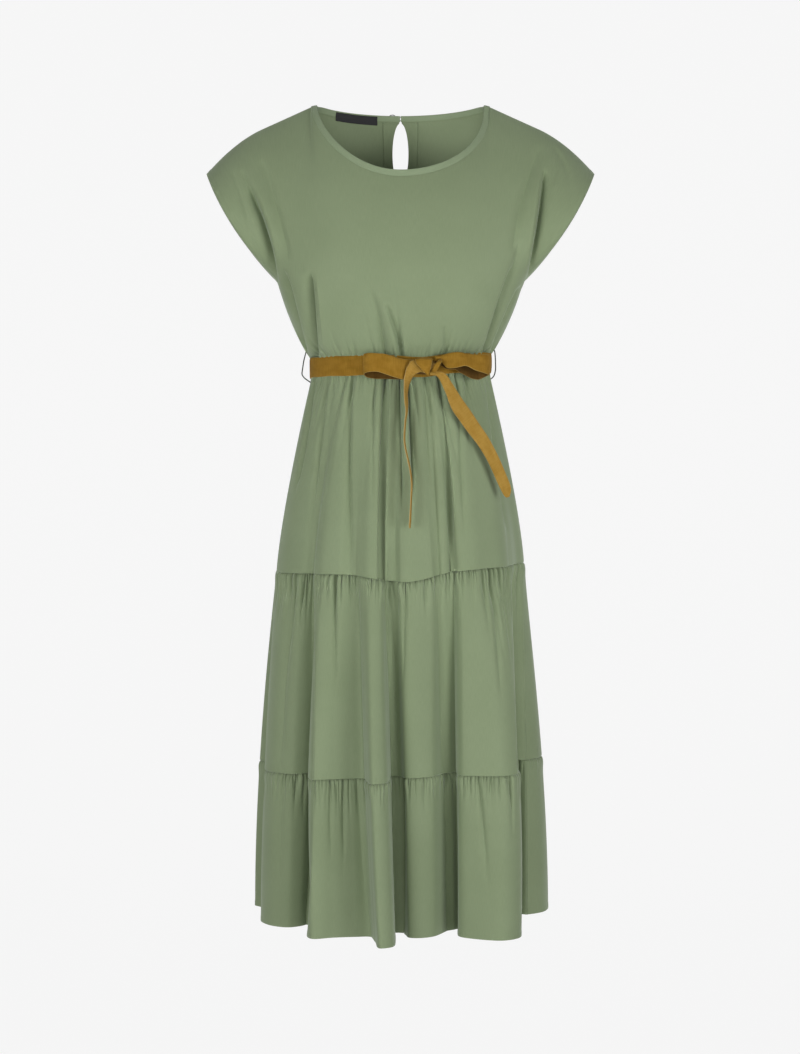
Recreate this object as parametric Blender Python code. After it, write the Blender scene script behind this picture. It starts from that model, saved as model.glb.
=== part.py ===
"""A midi dress: a bodice with cap sleeves cut in one, a skirt of three gathered tiers and a tied belt.

The dress is modelled filled out, as it is when worn, and hollow. It faces -Y and hangs from its shoulders:
the origin lies midway between the two high shoulder points. Left and right are as seen from the front.
Each piece of cloth is a closed wall, a grid of points moved half its thickness to each side.
"""

import math
from collections import namedtuple

import bmesh
import bpy
import numpy as np
from mathutils import Vector

MM = 0.001
FRONT, BACK = -1, 1

# Driving sizes, in metres.
CLOTH = 0.0012
BINDING = 0.0018
SUEDE = 0.0014
SEAM = 0.0003
WAIST_Z = -0.3762
WAIST_TILT = 0.022
HEM_Z = -1.1725
WAIST_HALF_WIDTH = 0.1292
WAIST_FRONT = 0.0924
WAIST_BACK = 0.0824
BELT_WIDTH = 0.034
BELT_EASE = 0.0034

SAGE = (0.205, 0.262, 0.165, 1)
SAGE_DARK = (0.10, 0.14, 0.08, 1)
OCHRE = (0.315, 0.175, 0.035, 1)
BLACK = (0.012, 0.012, 0.013, 1)


# ---------------------------------------------------------------- curves and walls

def slopes(points, knots):
    """The slope at each point of a closed ring: its two chords' slopes, weighted by each other's length."""
    gaps = np.diff(knots)[:, None]
    chord = (np.roll(points, -1, 0) - points) / gaps
    before, gap_before = np.roll(chord, 1, 0), np.roll(gaps, 1, 0)
    return (chord * gap_before + before * gaps) / (gaps + gap_before)


def through_ring(points, knots, at):
    """A closed cubic curve through the points, one at each knot, read at the values of at."""
    count = len(points)
    at = np.mod(at, knots[-1])
    index = np.clip(np.searchsorted(knots, at, side="right") - 1, 0, count - 1)
    gap = np.diff(knots)[index][:, None]
    u = (at - knots[index])[:, None] / gap
    slope = slopes(points, knots)
    here, there = points[index], points[(index + 1) % count]
    leave, arrive = slope[index] * gap, slope[(index + 1) % count] * gap
    return ((2 * u**3 - 3 * u**2 + 1) * here + (u**3 - 2 * u**2 + u) * leave
            + (3 * u**2 - 2 * u**3) * there + (u**3 - u**2) * arrive)


def through(xs, ys, at):
    """A smooth curve through the points (xs, ys), xs rising, read at the values of at, level past its ends."""
    xs, ys, at = np.asarray(xs, float), np.asarray(ys, float), np.asarray(at, float)
    slope = np.gradient(ys, xs)
    index = np.clip(np.searchsorted(xs, at) - 1, 0, len(xs) - 2)
    gap = xs[index + 1] - xs[index]
    u = np.clip((at - xs[index]) / gap, 0, 1)
    return ((2 * u**3 - 3 * u**2 + 1) * ys[index] + (u**3 - 2 * u**2 + u) * slope[index] * gap
            + (3 * u**2 - 2 * u**3) * ys[index + 1] + (u**3 - u**2) * slope[index + 1] * gap)


def unit(vectors):
    return vectors / np.maximum(np.linalg.norm(vectors, axis=-1, keepdims=True), 1e-12)


def material(name, colour, roughness):
    made = bpy.data.materials.get(name) or bpy.data.materials.new(name)
    made.use_nodes = True
    shader = made.node_tree.nodes["Principled BSDF"]
    shader.inputs["Base Color"].default_value = colour
    shader.inputs["Roughness"].default_value = roughness
    shader.inputs["Metallic"].default_value = 0.0
    return made


def add_object(name, points, faces, finish):
    mesh = bpy.data.meshes.new(name)
    mesh.from_pydata([tuple(map(float, p)) for p in points], [], faces)
    work = bmesh.new()
    work.from_mesh(mesh)
    bmesh.ops.recalc_face_normals(work, faces=work.faces)
    work.to_mesh(mesh)
    work.free()
    mesh.shade_smooth()
    mesh.materials.append(material(*finish))
    made = bpy.data.objects.new(name, mesh)
    bpy.context.scene.collection.objects.link(made)
    return made


def wall(name, middle, outward, thickness, finish, ring=False):
    """A closed wall: the grid middle (rows, columns, 3) moved half the thickness each way along outward.

    A ring joins its last column to its first. Both faces are cut along the same diagonals and stay parallel.
    """
    rows, columns = middle.shape[:2]
    half = outward * thickness / 2
    points = np.concatenate([(middle + half).reshape(-1, 3), (middle - half).reshape(-1, 3)])
    inner = rows * columns
    faces = []

    def cell(a, b, c, d):
        return [(a, b, c), (a, c, d)]

    for row in range(rows - 1):
        for column in range(columns if ring else columns - 1):
            after = (column + 1) % columns
            a, b = row * columns + column, row * columns + after
            c, d = (row + 1) * columns + after, (row + 1) * columns + column
            faces += cell(a, b, c, d)
            faces += [tuple(inner + i for i in reversed(face)) for face in cell(a, b, c, d)]
    for column in range(columns if ring else columns - 1):
        after = (column + 1) % columns
        last = (rows - 1) * columns
        faces += cell(after, column, inner + column, inner + after)
        faces += cell(last + column, last + after, inner + last + after, inner + last + column)
    if not ring:
        for row in range(rows - 1):
            a, b = row * columns, (row + 1) * columns
            end = columns - 1
            faces += cell(a, b, inner + b, inner + a)
            faces += cell(b + end, a + end, inner + a + end, inner + b + end)
    return add_object(name, points, faces, finish)


# ---------------------------------------------------------------- skirt

# One row for each crest, valley or edge of the skirt's large folds, going round from the left side over the
# front. Angles are from straight ahead (-Y), positive to the right; reaches are from the skirt's axis, in mm.
Fold = namedtuple("Fold", "name waist_deg seam_deg seam_reach hem_deg hem_reach")
FOLDS = [Fold(*row) for row in (
    ("left back crest", -104, -103, 185, -106, 224),
    ("left side valley", -90, -91, 180, -93, 184),
    ("A edge", -79, -79, 180, -78, 205),
    ("A crest", -70, -68, 176, -67, 201),
    ("A right", -61, -57, 168, -58.5, 178),
    ("A valley", -53, -47, 162, -53, 150),
    ("B edge", -47, -42.5, 165, -41.5, 188),
    ("B crest", -43, -38, 167, -35, 206),
    ("B right", -38, -32, 161, -32.5, 176),
    ("B valley", -33, -25.5, 150, -26, 141),
    ("C foot", -29, -21.5, 152, -16.5, 146),
    ("C edge", -25, -18.5, 160, -10.5, 188),
    ("C crest", -20, -14.5, 166, -7, 226),
    ("C right", -15, -10.5, 163, -3, 216),
    ("C flank", -12, -8.6, 154, -2.2, 172),
    ("C valley", -9.2, -7.2, 146, -3.5, 128),
    ("D foot", -5, -3, 150, 2, 146),
    ("D crest", 3, 5, 159, 9.5, 163),
    ("D right", 10, 13, 156, 18.5, 152),
    ("D valley", 15.6, 19, 147, 30, 122),
    ("small ridge", 20, 22.5, 153, 39, 112),
    ("E valley", 25, 26.2, 147, 47, 107),
    ("E flank", 29, 28.4, 154, 40.5, 130),
    ("E edge", 33, 31, 162, 31.8, 160),
    ("E left", 39, 36.5, 169, 31.8, 192),
    ("E crest", 48, 45, 173, 38.5, 226),
    ("E right", 57, 54, 176, 46, 230),
    ("E far edge", 65, 63, 178, 53.5, 213),
    ("E back flank", 73, 71, 178, 62, 190),
    ("F valley", 80, 79, 176, 76, 168),
    ("right side flank", 88, 87, 178, 88.5, 182),
    ("F edge", 96, 95, 180, 96.5, 213),
    ("F crest", 105, 104, 178, 105, 224),
    ("F right", 114, 113, 170, 113, 205),
    ("G valley", 122, 121, 158, 121, 165),
    ("G edge", 129, 128, 160, 127, 190),
    ("G crest", 137, 136, 164, 134, 216),
    ("G right", 145, 144, 158, 142, 196),
    ("H valley", 152, 151, 146, 149, 146),
    ("H edge", 160, 159, 150, 156, 170),
    ("H crest", 169, 168, 156, 165, 200),
    ("H right", 178, 177, 152, 174, 182),
    ("I valley", 185, 185, 144, 182, 138),
    ("I edge", 192, 192, 150, 188, 172),
    ("I crest", 200, 200, 160, 196, 208),
    ("I right", 209, 209, 160, 206, 196),
    ("J valley", 217, 216, 152, 214, 150),
    ("J edge", 224, 224, 160, 221, 186),
    ("J crest", 233, 232, 170, 230, 214),
    ("J right", 241, 241, 172, 239, 196),
    ("K valley", 249, 249, 174, 247, 172),
)]
LEFT_SEAM_FOLD, RIGHT_SEAM_FOLD = "left side valley", "right side flank"

# Each tier's rows as shares of its height. A gather is 2 columns wide: it stands by height at the seam above
# it and fades out over fade.
Tier = namedtuple("Tier", "number shares gather_height gather_fade")
TIERS = [
    Tier(1, (0, 0.07, 0.16, 0.32, 0.55, 0.8, 1), 0.0008, 0.09),
    Tier(2, (0, 0.08, 0.26, 0.58, 1), 0.0022, 0.06),
    Tier(3, (0, 0.1, 0.35, 0.68, 1), 0.0022, 0.05),
]
COLUMNS_PER_FOLD = 2

# The levels of the waist, the two tier seams and the hem. The cloth stays under the belt to UNDER_BELT.
LEVELS = {1: 0.0, 2: 1.0, 3: 1.563, 4: 2.0}
UNDER_BELT = 0.06
SWING_POWER, DEEPEN_POWER = 1.3, 1.7

# The seams over tiers 2 and 3: the height at the middle, how far the right side rises above it, and the depth
# of a dip at the centre front, which lies at SEAM_DIP_AT and fades over SEAM_DIP_REACH, in degrees.
TierSeam = namedtuple("TierSeam", "height rise dip")
TIER_SEAMS = {2: TierSeam(-0.667, 0.005, 0.0145), 3: TierSeam(-0.9515, 0.004, 0.0)}
SEAM_DIP_AT, SEAM_DIP_REACH = 3, 20

# The ring is longer at the hem than at the waist, so the side seams' gap is made wider there by this much.
SIDE_SEAM_EASE = 1.2


def plan_points(degrees, reach):
    angle = np.radians(degrees)
    return np.stack([reach * np.sin(angle), -reach * np.cos(angle)], axis=-1)


def column_of(field):
    return np.array([getattr(fold, field) for fold in FOLDS], float)


def waist_reach(degrees):
    """How far the waist oval lies from its middle; straight ahead is 0 degrees."""
    angle = np.radians(degrees)
    depth = np.where(np.cos(angle) > 0, WAIST_FRONT, WAIST_BACK)
    return 1 / np.hypot(np.sin(angle) / WAIST_HALF_WIDTH, np.cos(angle) / depth)


def ring_knots():
    """Where each fold row lies on the ring: steps that grow with the root of the hem's chords."""
    hem = plan_points(column_of("hem_deg"), column_of("hem_reach") * MM)
    chords = np.linalg.norm(np.diff(np.vstack([hem, hem[:1]]), axis=0), axis=1)
    return np.concatenate([[0], np.cumsum(np.sqrt(chords))])


KNOTS = ring_knots()
TURN = KNOTS[-1]


def plan_ring(level):
    """The fold rows' plan points at a level: 0 at the waist, 1 at the first tier seam, 2 at the hem.

    Above the first seam the cloth stays under the belt and then swings out, fast at first. Below it the folds
    deepen fast at first and drift sideways evenly.
    """
    if level <= 1:
        swing = 1 - (1 - max(level - UNDER_BELT, 0) / (1 - UNDER_BELT)) ** SWING_POWER
        degrees = column_of("waist_deg") * (1 - level) + column_of("seam_deg") * level
        reach = waist_reach(degrees) * (1 - swing) + column_of("seam_reach") * MM * swing
    else:
        fall = level - 1
        deepen = 1 - (1 - fall) ** DEEPEN_POWER
        degrees = column_of("seam_deg") * (1 - fall) + column_of("hem_deg") * fall
        reach = (column_of("seam_reach") * (1 - deepen) + column_of("hem_reach") * deepen) * MM
    return plan_points(degrees, reach)


def ring_place(level, turn):
    return through_ring(plan_ring(level), KNOTS, np.asarray(turn, float))


def ring_speed(ring, turn):
    """How fast the ring's place changes with turn, as plan vectors."""
    step = 1e-3
    return (through_ring(ring, KNOTS, turn + step) - through_ring(ring, KNOTS, turn - step)) / (2 * step)


def ring_angle(turn):
    """The angle of a place on the ring, at the first tier seam, in degrees from straight ahead."""
    place = ring_place(1, turn)
    return np.degrees(np.arctan2(place[..., 0], -place[..., 1]))


def seam_height(number, turn):
    """Height of the edge above tier number, round the ring; 4 gives the hem.

    The waist follows the belt's tilt. The first seam dips at the centre front and rises a little to the right.
    """
    if number == 1:
        return WAIST_Z + WAIST_TILT * ring_place(0, turn)[..., 0]
    if number not in TIER_SEAMS:
        return np.full(np.shape(turn), HEM_Z)
    seam, degrees = TIER_SEAMS[number], ring_angle(turn)
    bell = np.exp(-((degrees - SEAM_DIP_AT) / SEAM_DIP_REACH) ** 2)
    return seam.height + seam.rise * np.sin(np.radians(degrees)) - seam.dip * bell


def tier_level(number, share):
    """The level of plan_ring for a share of a tier's height."""
    return LEVELS[number] + (LEVELS[number + 1] - LEVELS[number]) * share


def tier_points(tier, turn, share):
    """Middle points of a tier, one row for each share, one column for each turn, with its gathers."""
    turn = np.asarray(turn, float)
    top, foot = seam_height(tier.number, turn), seam_height(tier.number + 1, turn)
    top = top - SEAM / 2
    foot = foot + (SEAM / 2 if tier.number < 3 else 0)
    wave = np.cos(2 * math.pi * np.interp(np.mod(turn, TURN), KNOTS, np.arange(len(KNOTS))))
    rows, outward = [], []
    for part in share:
        ring = plan_ring(tier_level(tier.number, part))
        place = through_ring(ring, KNOTS, turn)
        along = ring_speed(ring, turn)
        normal = unit(np.stack([along[:, 1], -along[:, 0]], axis=-1))
        below = (top - foot) * part
        gather = tier.gather_height * wave * np.exp(-below / tier.gather_fade)
        place = place + normal * gather[:, None]
        rows.append(np.column_stack([place, top + (foot - top) * part]))
        outward.append(np.column_stack([normal, np.zeros(len(turn))]))
    return np.array(rows), np.array(outward)


def seam_turn(fold_name):
    return KNOTS[[fold.name for fold in FOLDS].index(fold_name)]


def half_turns(side):
    """The columns of one half: its fold rows and the steps between, with a small gap at both side seams."""
    left, right = seam_turn(LEFT_SEAM_FOLD), seam_turn(RIGHT_SEAM_FOLD)
    first, last = (left, right) if side == FRONT else (right, left + TURN)
    knots = np.concatenate([KNOTS[:-1], KNOTS[:-1] + TURN])
    knots = knots[(knots > first - 1e-9) & (knots < last + 1e-9)]
    steps = np.arange(COLUMNS_PER_FOLD) / COLUMNS_PER_FOLD
    turns = np.append((knots[:-1, None] + np.diff(knots)[:, None] * steps).ravel(), knots[-1])
    speed = np.linalg.norm(ring_speed(plan_ring(2), turns[[0, -1]]), axis=1)
    turns[[0, -1]] += np.array([1, -1]) * SIDE_SEAM_EASE * SEAM / speed
    return turns


def build_skirt():
    for tier in TIERS:
        for side, label in ((FRONT, "front"), (BACK, "back")):
            middle, outward = tier_points(tier, half_turns(side), tier.shares)
            wall(f"skirt_tier_{tier.number}_{label}", middle, outward, CLOTH, ("sage viscose", SAGE, 0.62))


# ---------------------------------------------------------------- bodice

# Sections below the underarm, in metres. Roundness is 1 for an oval, and less where the section is squarer.
Section = namedtuple("Section", "name height half_width front back roundness")
SECTIONS = [Section(*row) for row in (
    ("underarm", -0.253, 0.1780, 0.121, 0.104, 0.72),
    ("under bust", -0.300, 0.1617, 0.119, 0.100, 0.76),
    ("ribs", -0.333, 0.1465, 0.110, 0.093, 0.83),
    ("over the belt", -0.3500, 0.1385, 0.102, 0.089, 0.92),
    ("belt top", -0.3578, WAIST_HALF_WIDTH, WAIST_FRONT, WAIST_BACK, 1.0),
    ("waist", WAIST_Z, WAIST_HALF_WIDTH, WAIST_FRONT, WAIST_BACK, 1.0),
)]
NECK_SHARE = 0.51
NECK_HALF_WIDTH = 0.128
BINDING_WIDTH = 0.0078
FRONT_NECK_DEPTH, FRONT_NECK_DROP = 0.089, 0.109
BACK_NECK_DEPTH, BACK_NECK_DROP = 0.066, 0.0115
SHOULDER_TIP_X = 0.279
SHOULDER_START_X, SHOULDER_SLOPE = 0.122, 0.453
TIP_CURVE_START_X, TIP_CURVE = 0.198, 4.33

# At the shoulders the neck binding leans in at this angle, and this is the power of its fading away from them.
SHOULDER_LEAN, SHOULDER_LEAN_POWER = math.radians(12.5), 12

# How the panel's columns swing from the upper edge to the underarm section. The edge columns swing evenly with
# v for a share, and by a power of v for the rest. The sleeves bulge forwards and back by SLEEVE_BULGE, and
# fullness is the power of that arch.
NECK_FALL_POWER = 1.25
EDGE_SWING_EVEN, EDGE_SWING_POWER = 0.68, 2.6
EDGE_SHARE_POWER = 6
RISE_EASE = 0.25
SLEEVE_BULGE, SLEEVE_FULLNESS, SLEEVE_SHARE_POWER = 0.062, 0.68, 4
OFF_EDGE_POWER = 14

# The corners of the upper edge at the neck are smoothed over CORNER_REACH of u, from v = CORNER_EASED down.
CORNER_REACH, CORNER_EASED, CORNER_TAPS = 0.30, 0.7, 9

# Creases of a panel, in mm: a path through three points seen from the front, the depth of its middle (inwards
# positive) and how far it reaches to its left and right.
Crease = namedtuple("Crease", "name top_x top_z mid_x mid_z low_x low_z depth left right")
FRONT_CREASES = [Crease(*row) for row in (
    ("left armhole valley", -231, -96, -200, -165, -185, -262, 14, 22, 9),
    ("left armhole ridge", -216, -96, -184, -165, -170, -262, -7, 9, 22),
    ("left shoulder valley", -199, -80, -173, -160, -158, -225, 4, 9, 9),
    ("right armhole valley", 217, -100, 200, -165, 189, -262, 14, 9, 22),
    ("right armhole ridge", 202, -100, 185, -165, 174, -262, -7, 22, 9),
    ("right shoulder valley", 201, -64, 182, -115, 160, -215, 4, 9, 9),
    ("left side valley", -157, -245, -146, -315, -127, -400, 6, 11, 9),
    ("left waist valley", -129, -245, -121, -315, -117, -400, 9, 12, 6),
    ("left waist ridge", -119, -245, -111, -315, -107, -400, -3, 6, 9),
    ("centre soft valley", -44, -268, -31, -315, -20, -400, 4, 9, 9),
    ("centre ridge", -38, -262, -22, -315, -10, -400, -3, 8, 6),
    ("centre sharp valley", -30, -262, -12, -318, 4, -400, 5, 7, 6),
    ("right short valley", 60, -325, 63, -350, 66, -400, 3, 6, 6),
    ("right side valley", 158, -235, 143, -300, 124, -400, 6, 9, 12),
)]
BACK_CREASES = [Crease(*row) for row in (
    ("left armhole valley", -222, -96, -198, -165, -184, -262, 11, 18, 9),
    ("left armhole ridge", -207, -96, -183, -165, -169, -262, -5, 9, 20),
    ("right armhole valley", 219, -98, 197, -165, 186, -262, 11, 9, 18),
    ("right armhole ridge", 204, -98, 182, -165, 171, -262, -5, 20, 9),
    ("left waist valley", -116, -250, -109, -315, -98, -400, 7, 11, 8),
    ("left middle valley", -57, -272, -51, -320, -46, -400, 5, 9, 8),
    ("right middle valley", 38, -268, 33, -318, 28, -400, 5, 8, 9),
    ("right waist valley", 112, -245, 101, -312, 91, -400, 7, 8, 11),
)]
PANEL_COLUMNS = 44
BELT_TOP_ROW = 1.845
PANEL_ROWS = (0, 0.1, 0.24, 0.4, 0.56, 0.72, 0.87, 1, 1.25, 1.5, 1.68, 1.778, BELT_TOP_ROW, 2)
CREASE_TOP_FADE, CREASE_WAIST_FADE = 0.08, 0.2
WAIST_GATHERS = 22
GATHER_HEIGHT, GATHER_FADE = 0.0008, 0.12

# The keyhole: an oval, and the slit that joins it to the neck. Below, the facing round it and the label, in
# shares of the panel's width and height.
KEYHOLE_Z, KEYHOLE_HALF_HEIGHT, KEYHOLE_HALF_WIDTH, KEYHOLE_SLIT = -0.0605, 0.044, 0.0118, 0.0018
FACING_HALF_SHARE, FACING_TOP, FACING_LOW, FACING_CLOTH = 0.066, 0.004, 0.49, 0.0008
LABEL_LEFT, LABEL_RIGHT, LABEL_CLOTH = -0.28, -0.08, 0.0006
LABEL_BELOW_SEAM, LABEL_ABOVE_SEAM = 0.0068, 0.006
BUTTON_SHARE, BUTTON_RADIUS, BUTTON_HEIGHT = -0.030, 0.0045, 0.0024
LOOP_SHARE, LOOP_THREAD, LOOP_ENDS_APART = 0.0105, 0.0012, 0.0044


def shoulder_height(x):
    """Height of the shoulder seam at a distance from the middle: even, then curving down to the tip."""
    return -SHOULDER_SLOPE * (x - SHOULDER_START_X) - TIP_CURVE * np.maximum(x - TIP_CURVE_START_X, 0) ** 2


def panel_top(u, side):
    """The panel's upper edge: the neck seam within NECK_SHARE, and the shoulder seam outside it."""
    depth, drop = (FRONT_NECK_DEPTH, FRONT_NECK_DROP) if side == FRONT else (BACK_NECK_DEPTH, BACK_NECK_DROP)
    out = np.abs(u)
    angle = np.clip(out / NECK_SHARE, 0, 1) * math.pi / 2
    beyond = np.clip((out - NECK_SHARE) / (1 - NECK_SHARE), 0, None)
    x = NECK_HALF_WIDTH * np.sin(angle) + (SHOULDER_TIP_X - NECK_HALF_WIDTH) * beyond
    neck_fall = np.maximum(np.cos(angle), 0) ** NECK_FALL_POWER
    z = shoulder_height(np.maximum(x, NECK_HALF_WIDTH)) - drop * neck_fall
    return np.sign(u) * x, side * depth * np.cos(angle) * (beyond <= 0), z


def eased_top(u, v, side):
    """The upper edge as a column feels it at v, with its corners at the neck smoothed over a growing reach."""
    taps = np.linspace(-1, 1, CORNER_TAPS)
    weights = np.cos(taps * math.pi / 2) ** 2 + 1e-3
    reach = CORNER_REACH * np.clip(v / CORNER_EASED, 0, 1)
    at = u[..., None] + taps * reach[..., None] * (1 - np.abs(u[..., None]) ** 3)
    return [np.sum(value * weights, axis=-1) / weights.sum() for value in panel_top(at, side)]


def section_at(height, field):
    rows = SECTIONS[::-1]
    return through([row.height for row in rows], [getattr(row, field) for row in rows], height)


def crease_push(x, z, creases):
    """How far the creases push the cloth inwards at (x, z), all in metres."""
    push = np.zeros(np.shape(x))
    for crease in creases:
        along = z / MM
        heights = (crease.top_z, crease.mid_z, crease.low_z)
        places = (crease.top_x, crease.mid_x, crease.low_x)
        path = sum(
            place * np.prod([(along - other) / (height - other) for other in heights if other != height], 0)
            for height, place in zip(heights, places)
        )
        share = np.clip((along - crease.top_z) / (crease.low_z - crease.top_z), 0, 1)
        gap = x / MM - path
        reach = np.where(gap < 0, crease.left, crease.right)
        push += crease.depth * MM * np.sqrt(np.sin(math.pi * share)) * np.exp(-(gap / reach) ** 2)
    return push


def panel(side, u, v):
    """Points of a bodice panel at u and v.

    u runs from -1 to 1 between the left and right edges, and v from 0 at the top over 1 at the underarm to 2 at
    the waist. From 0 to 1 each column swings from the upper edge to the underarm section, with its depth on a
    quarter sine; from 1 to 2 it follows the sections.
    """
    creases = FRONT_CREASES if side == FRONT else BACK_CREASES
    u, v = np.broadcast_arrays(np.asarray(u, float), np.asarray(v, float))
    angle = u * math.pi / 2
    upper = np.clip(v, -0.2, 1)
    lower = np.clip(v - 1, 0, 1.1)
    top_x, top_y, top_z = eased_top(u, upper, side)
    underarm = SECTIONS[0].height
    height = underarm + (WAIST_Z - underarm) * lower
    width = section_at(height, "half_width")
    depth = section_at(height, "front" if side == FRONT else "back")
    around = np.abs(np.cos(angle)) ** section_at(height, "roundness")
    edge = np.abs(u) ** EDGE_SHARE_POWER
    edge_swing = EDGE_SWING_EVEN * upper + (1 - EDGE_SWING_EVEN) * np.abs(upper) ** EDGE_SWING_POWER
    swing = (1 - np.cos(math.pi * upper)) / 2 * (1 - edge) + edge_swing * edge
    x = top_x + (width * np.sin(angle) - top_x) * np.where(v < 1, swing, 1)
    rise = np.sign(upper) * np.abs(np.sin(math.pi / 2 * upper)) ** (1 - RISE_EASE * np.abs(u))
    y = top_y + (side * depth * around - top_y) * np.where(v < 1, rise, 1)
    bulge = np.maximum(np.sin(math.pi * upper), 0) ** SLEEVE_FULLNESS * np.where(v < 1, 1, 0)
    y = y + side * SLEEVE_BULGE * bulge * u**SLEEVE_SHARE_POWER
    z = np.where(v < 1, top_z + (underarm - top_z) * upper, height)
    off_sides = 1 - np.abs(u) ** OFF_EDGE_POWER
    crease_fade = np.clip(upper / CREASE_TOP_FADE, 0, 1) * np.clip((2 - v) / CREASE_WAIST_FADE, 0, 1)
    y = y - side * crease_push(x, z, creases) * off_sides * crease_fade
    gather_fade = np.clip((v - 2) / GATHER_FADE + 1, 0, None)
    gather = GATHER_HEIGHT * np.cos(math.pi * (u + 1) * WAIST_GATHERS) * gather_fade * off_sides
    x = x + np.sin(angle) * gather
    y = y + side * (np.cos(angle) * gather + SEAM / 2)
    return np.stack([x, y, z + WAIST_TILT * x * lower], axis=-1)


def neck_frame(side, u):
    """Points on the neck seam, and there the directions up across the binding and off the body.

    The binding stands square to the seam as seen from the front, and at the shoulders it leans in along them.
    """
    start = panel(side, u, 0.0 * u)
    after, before = np.minimum(u + 1e-4, NECK_SHARE), np.maximum(u - 1e-4, -NECK_SHARE)
    along = unit(panel(side, after, 0.0 * u) - panel(side, before, 0.0 * u))
    angle = np.minimum(np.abs(u) / NECK_SHARE, 1) * math.pi / 2
    drop = FRONT_NECK_DROP if side == FRONT else BACK_NECK_DROP
    cosine = np.maximum(np.cos(angle), 1e-4)
    fall = drop * NECK_FALL_POWER * cosine ** (NECK_FALL_POWER - 1) * np.sin(angle)
    square = unit(np.stack([-np.sign(u) * fall, 0 * u, NECK_HALF_WIDTH * cosine], axis=-1))
    inward = -np.sign(u) * math.cos(SHOULDER_LEAN)
    at_shoulder = np.stack([inward, 0 * u, 0 * u + math.sin(SHOULDER_LEAN)], axis=-1)
    share = np.sin(angle)[..., None] ** SHOULDER_LEAN_POWER
    across = unit(square * (1 - share) + at_shoulder * share)
    return start, across, unit(np.cross(along, across)) * -side


def panel_normals(side, u, v):
    """Unit normals of a panel, off the body.

    At the neck they are the binding's, and along the other seams they stay in the plane that both sides share.
    """
    step = 1e-4
    along = panel(side, np.minimum(u + step, 1), v) - panel(side, np.maximum(u - step, -1), v)
    down = panel(side, u, v + step) - panel(side, u, v - step)
    normal = unit(np.cross(along, down)) * side
    at_shoulder = (v <= 1e-9) & (np.abs(u) >= NECK_SHARE - 1e-9)
    at_side = (np.abs(u) >= 1 - 1e-9) & (v >= 1 - 1e-9)
    flat = (at_shoulder | at_side)[..., None]
    normal = unit(np.where(flat, normal * np.array([1, 0, 1]), normal))
    at_waist = (v >= BELT_TOP_ROW)[..., None]
    normal = unit(np.where(at_waist, normal * np.array([1, 1, 0]), normal))
    at_neck = (v <= 1e-9) & (np.abs(u) <= NECK_SHARE + 1e-9)
    return np.where(at_neck[..., None], neck_frame(side, np.clip(u, -NECK_SHARE, NECK_SHARE))[2], normal)


def panel_columns():
    """The columns of a panel, with one on each high shoulder point."""
    u = np.linspace(-1, 1, PANEL_COLUMNS + 1)
    for target in (-NECK_SHARE, NECK_SHARE):
        u[np.argmin(np.abs(u - target))] = target
    return u


def keyhole_outline():
    """Half the width of the keyhole at each height, in metres: an oval with a narrow slit above it."""
    share = np.linspace(-math.pi / 2, math.pi / 2, 17)
    heights, oval = KEYHOLE_Z + KEYHOLE_HALF_HEIGHT * np.sin(share), KEYHOLE_HALF_WIDTH * np.cos(share)
    keep = (share < 0) | (oval > KEYHOLE_SLIT)
    slit_foot, above_neck = heights[keep][-1] + 0.004, 0.03
    return np.append(heights[keep], [slit_foot, above_neck]), np.append(oval[keep], [KEYHOLE_SLIT] * 2)


def keyhole_cutter(name, near, far):
    """A prism with the keyhole's outline, from y = near to y = far."""
    heights, halves = keyhole_outline()
    outline = [(half, z) for half, z in zip(halves, heights)]
    outline += [(-half, z) for half, z in reversed(list(zip(halves, heights))) if half > 1e-6]
    count = len(outline)
    points = [(x, y, z) for y in (near, far) for x, z in outline]
    faces = [tuple(range(count)), tuple(range(2 * count - 1, count - 1, -1))]
    faces += [(i, i + count, (i + 1) % count + count, (i + 1) % count) for i in range(count)]
    cutter = add_object(name, points, faces, ("cutter", BLACK, 0.5))
    cutter.hide_render = True
    cutter.display_type = "WIRE"
    return cutter


def cut(target, cutter):
    boolean = target.modifiers.new("keyhole", "BOOLEAN")
    boolean.operation = "DIFFERENCE"
    boolean.solver = "EXACT"
    boolean.object = cutter


def neck_strip(side, u, reach, lift):
    """Points and normals of a strip along the neck seam, lifted off the cloth.

    A positive reach goes from the seam towards the neck edge, and a negative one down the panel's first row.
    """
    start, across, normal = neck_frame(side, u)
    reach = np.asarray(reach)[:, None, None]
    down = unit(panel(side, u, 0.0 * u + PANEL_ROWS[1]) - start)
    rows = start + across * np.maximum(reach, 0) + down * np.maximum(-reach, 0) + normal * lift
    return rows, np.broadcast_to(normal, rows.shape)


def build_bodice():
    cloth = ("sage viscose", SAGE, 0.62)
    u, v = np.meshgrid(panel_columns(), PANEL_ROWS)
    foot = np.where(v > 2 - 1e-9, SEAM / 2, 0)[..., None] * np.array([0, 0, 1])
    wall("bodice_front", panel(FRONT, u, v) + foot, panel_normals(FRONT, u, v), CLOTH, cloth)
    back_panel = wall("bodice_back", panel(BACK, u, v) + foot, panel_normals(BACK, u, v), CLOTH, cloth)
    cutter = keyhole_cutter("keyhole_cutter", 0.03, 0.16)
    cut(back_panel, cutter)

    neck = panel_columns()
    neck = neck[np.abs(neck) <= NECK_SHARE + 1e-9]
    reach = (SEAM, SEAM + BINDING_WIDTH)
    middle, outward = neck_strip(FRONT, neck, reach, 0)
    wall("neck_binding_front", middle, outward, BINDING, ("sage binding", SAGE, 0.6))
    end = keyhole_outline()[1][-1] / NECK_HALF_WIDTH / (math.pi / 2) * NECK_SHARE
    right = np.append(end, neck[neck > 0.02])
    for label, columns in (("left", -right[::-1]), ("right", right)):
        middle, outward = neck_strip(BACK, columns, reach, 0)
        wall(f"neck_binding_back_{label}", middle, outward, BINDING, ("sage binding", SAGE, 0.6))

    build_facing(cutter)
    build_label()
    build_fastening()


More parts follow.
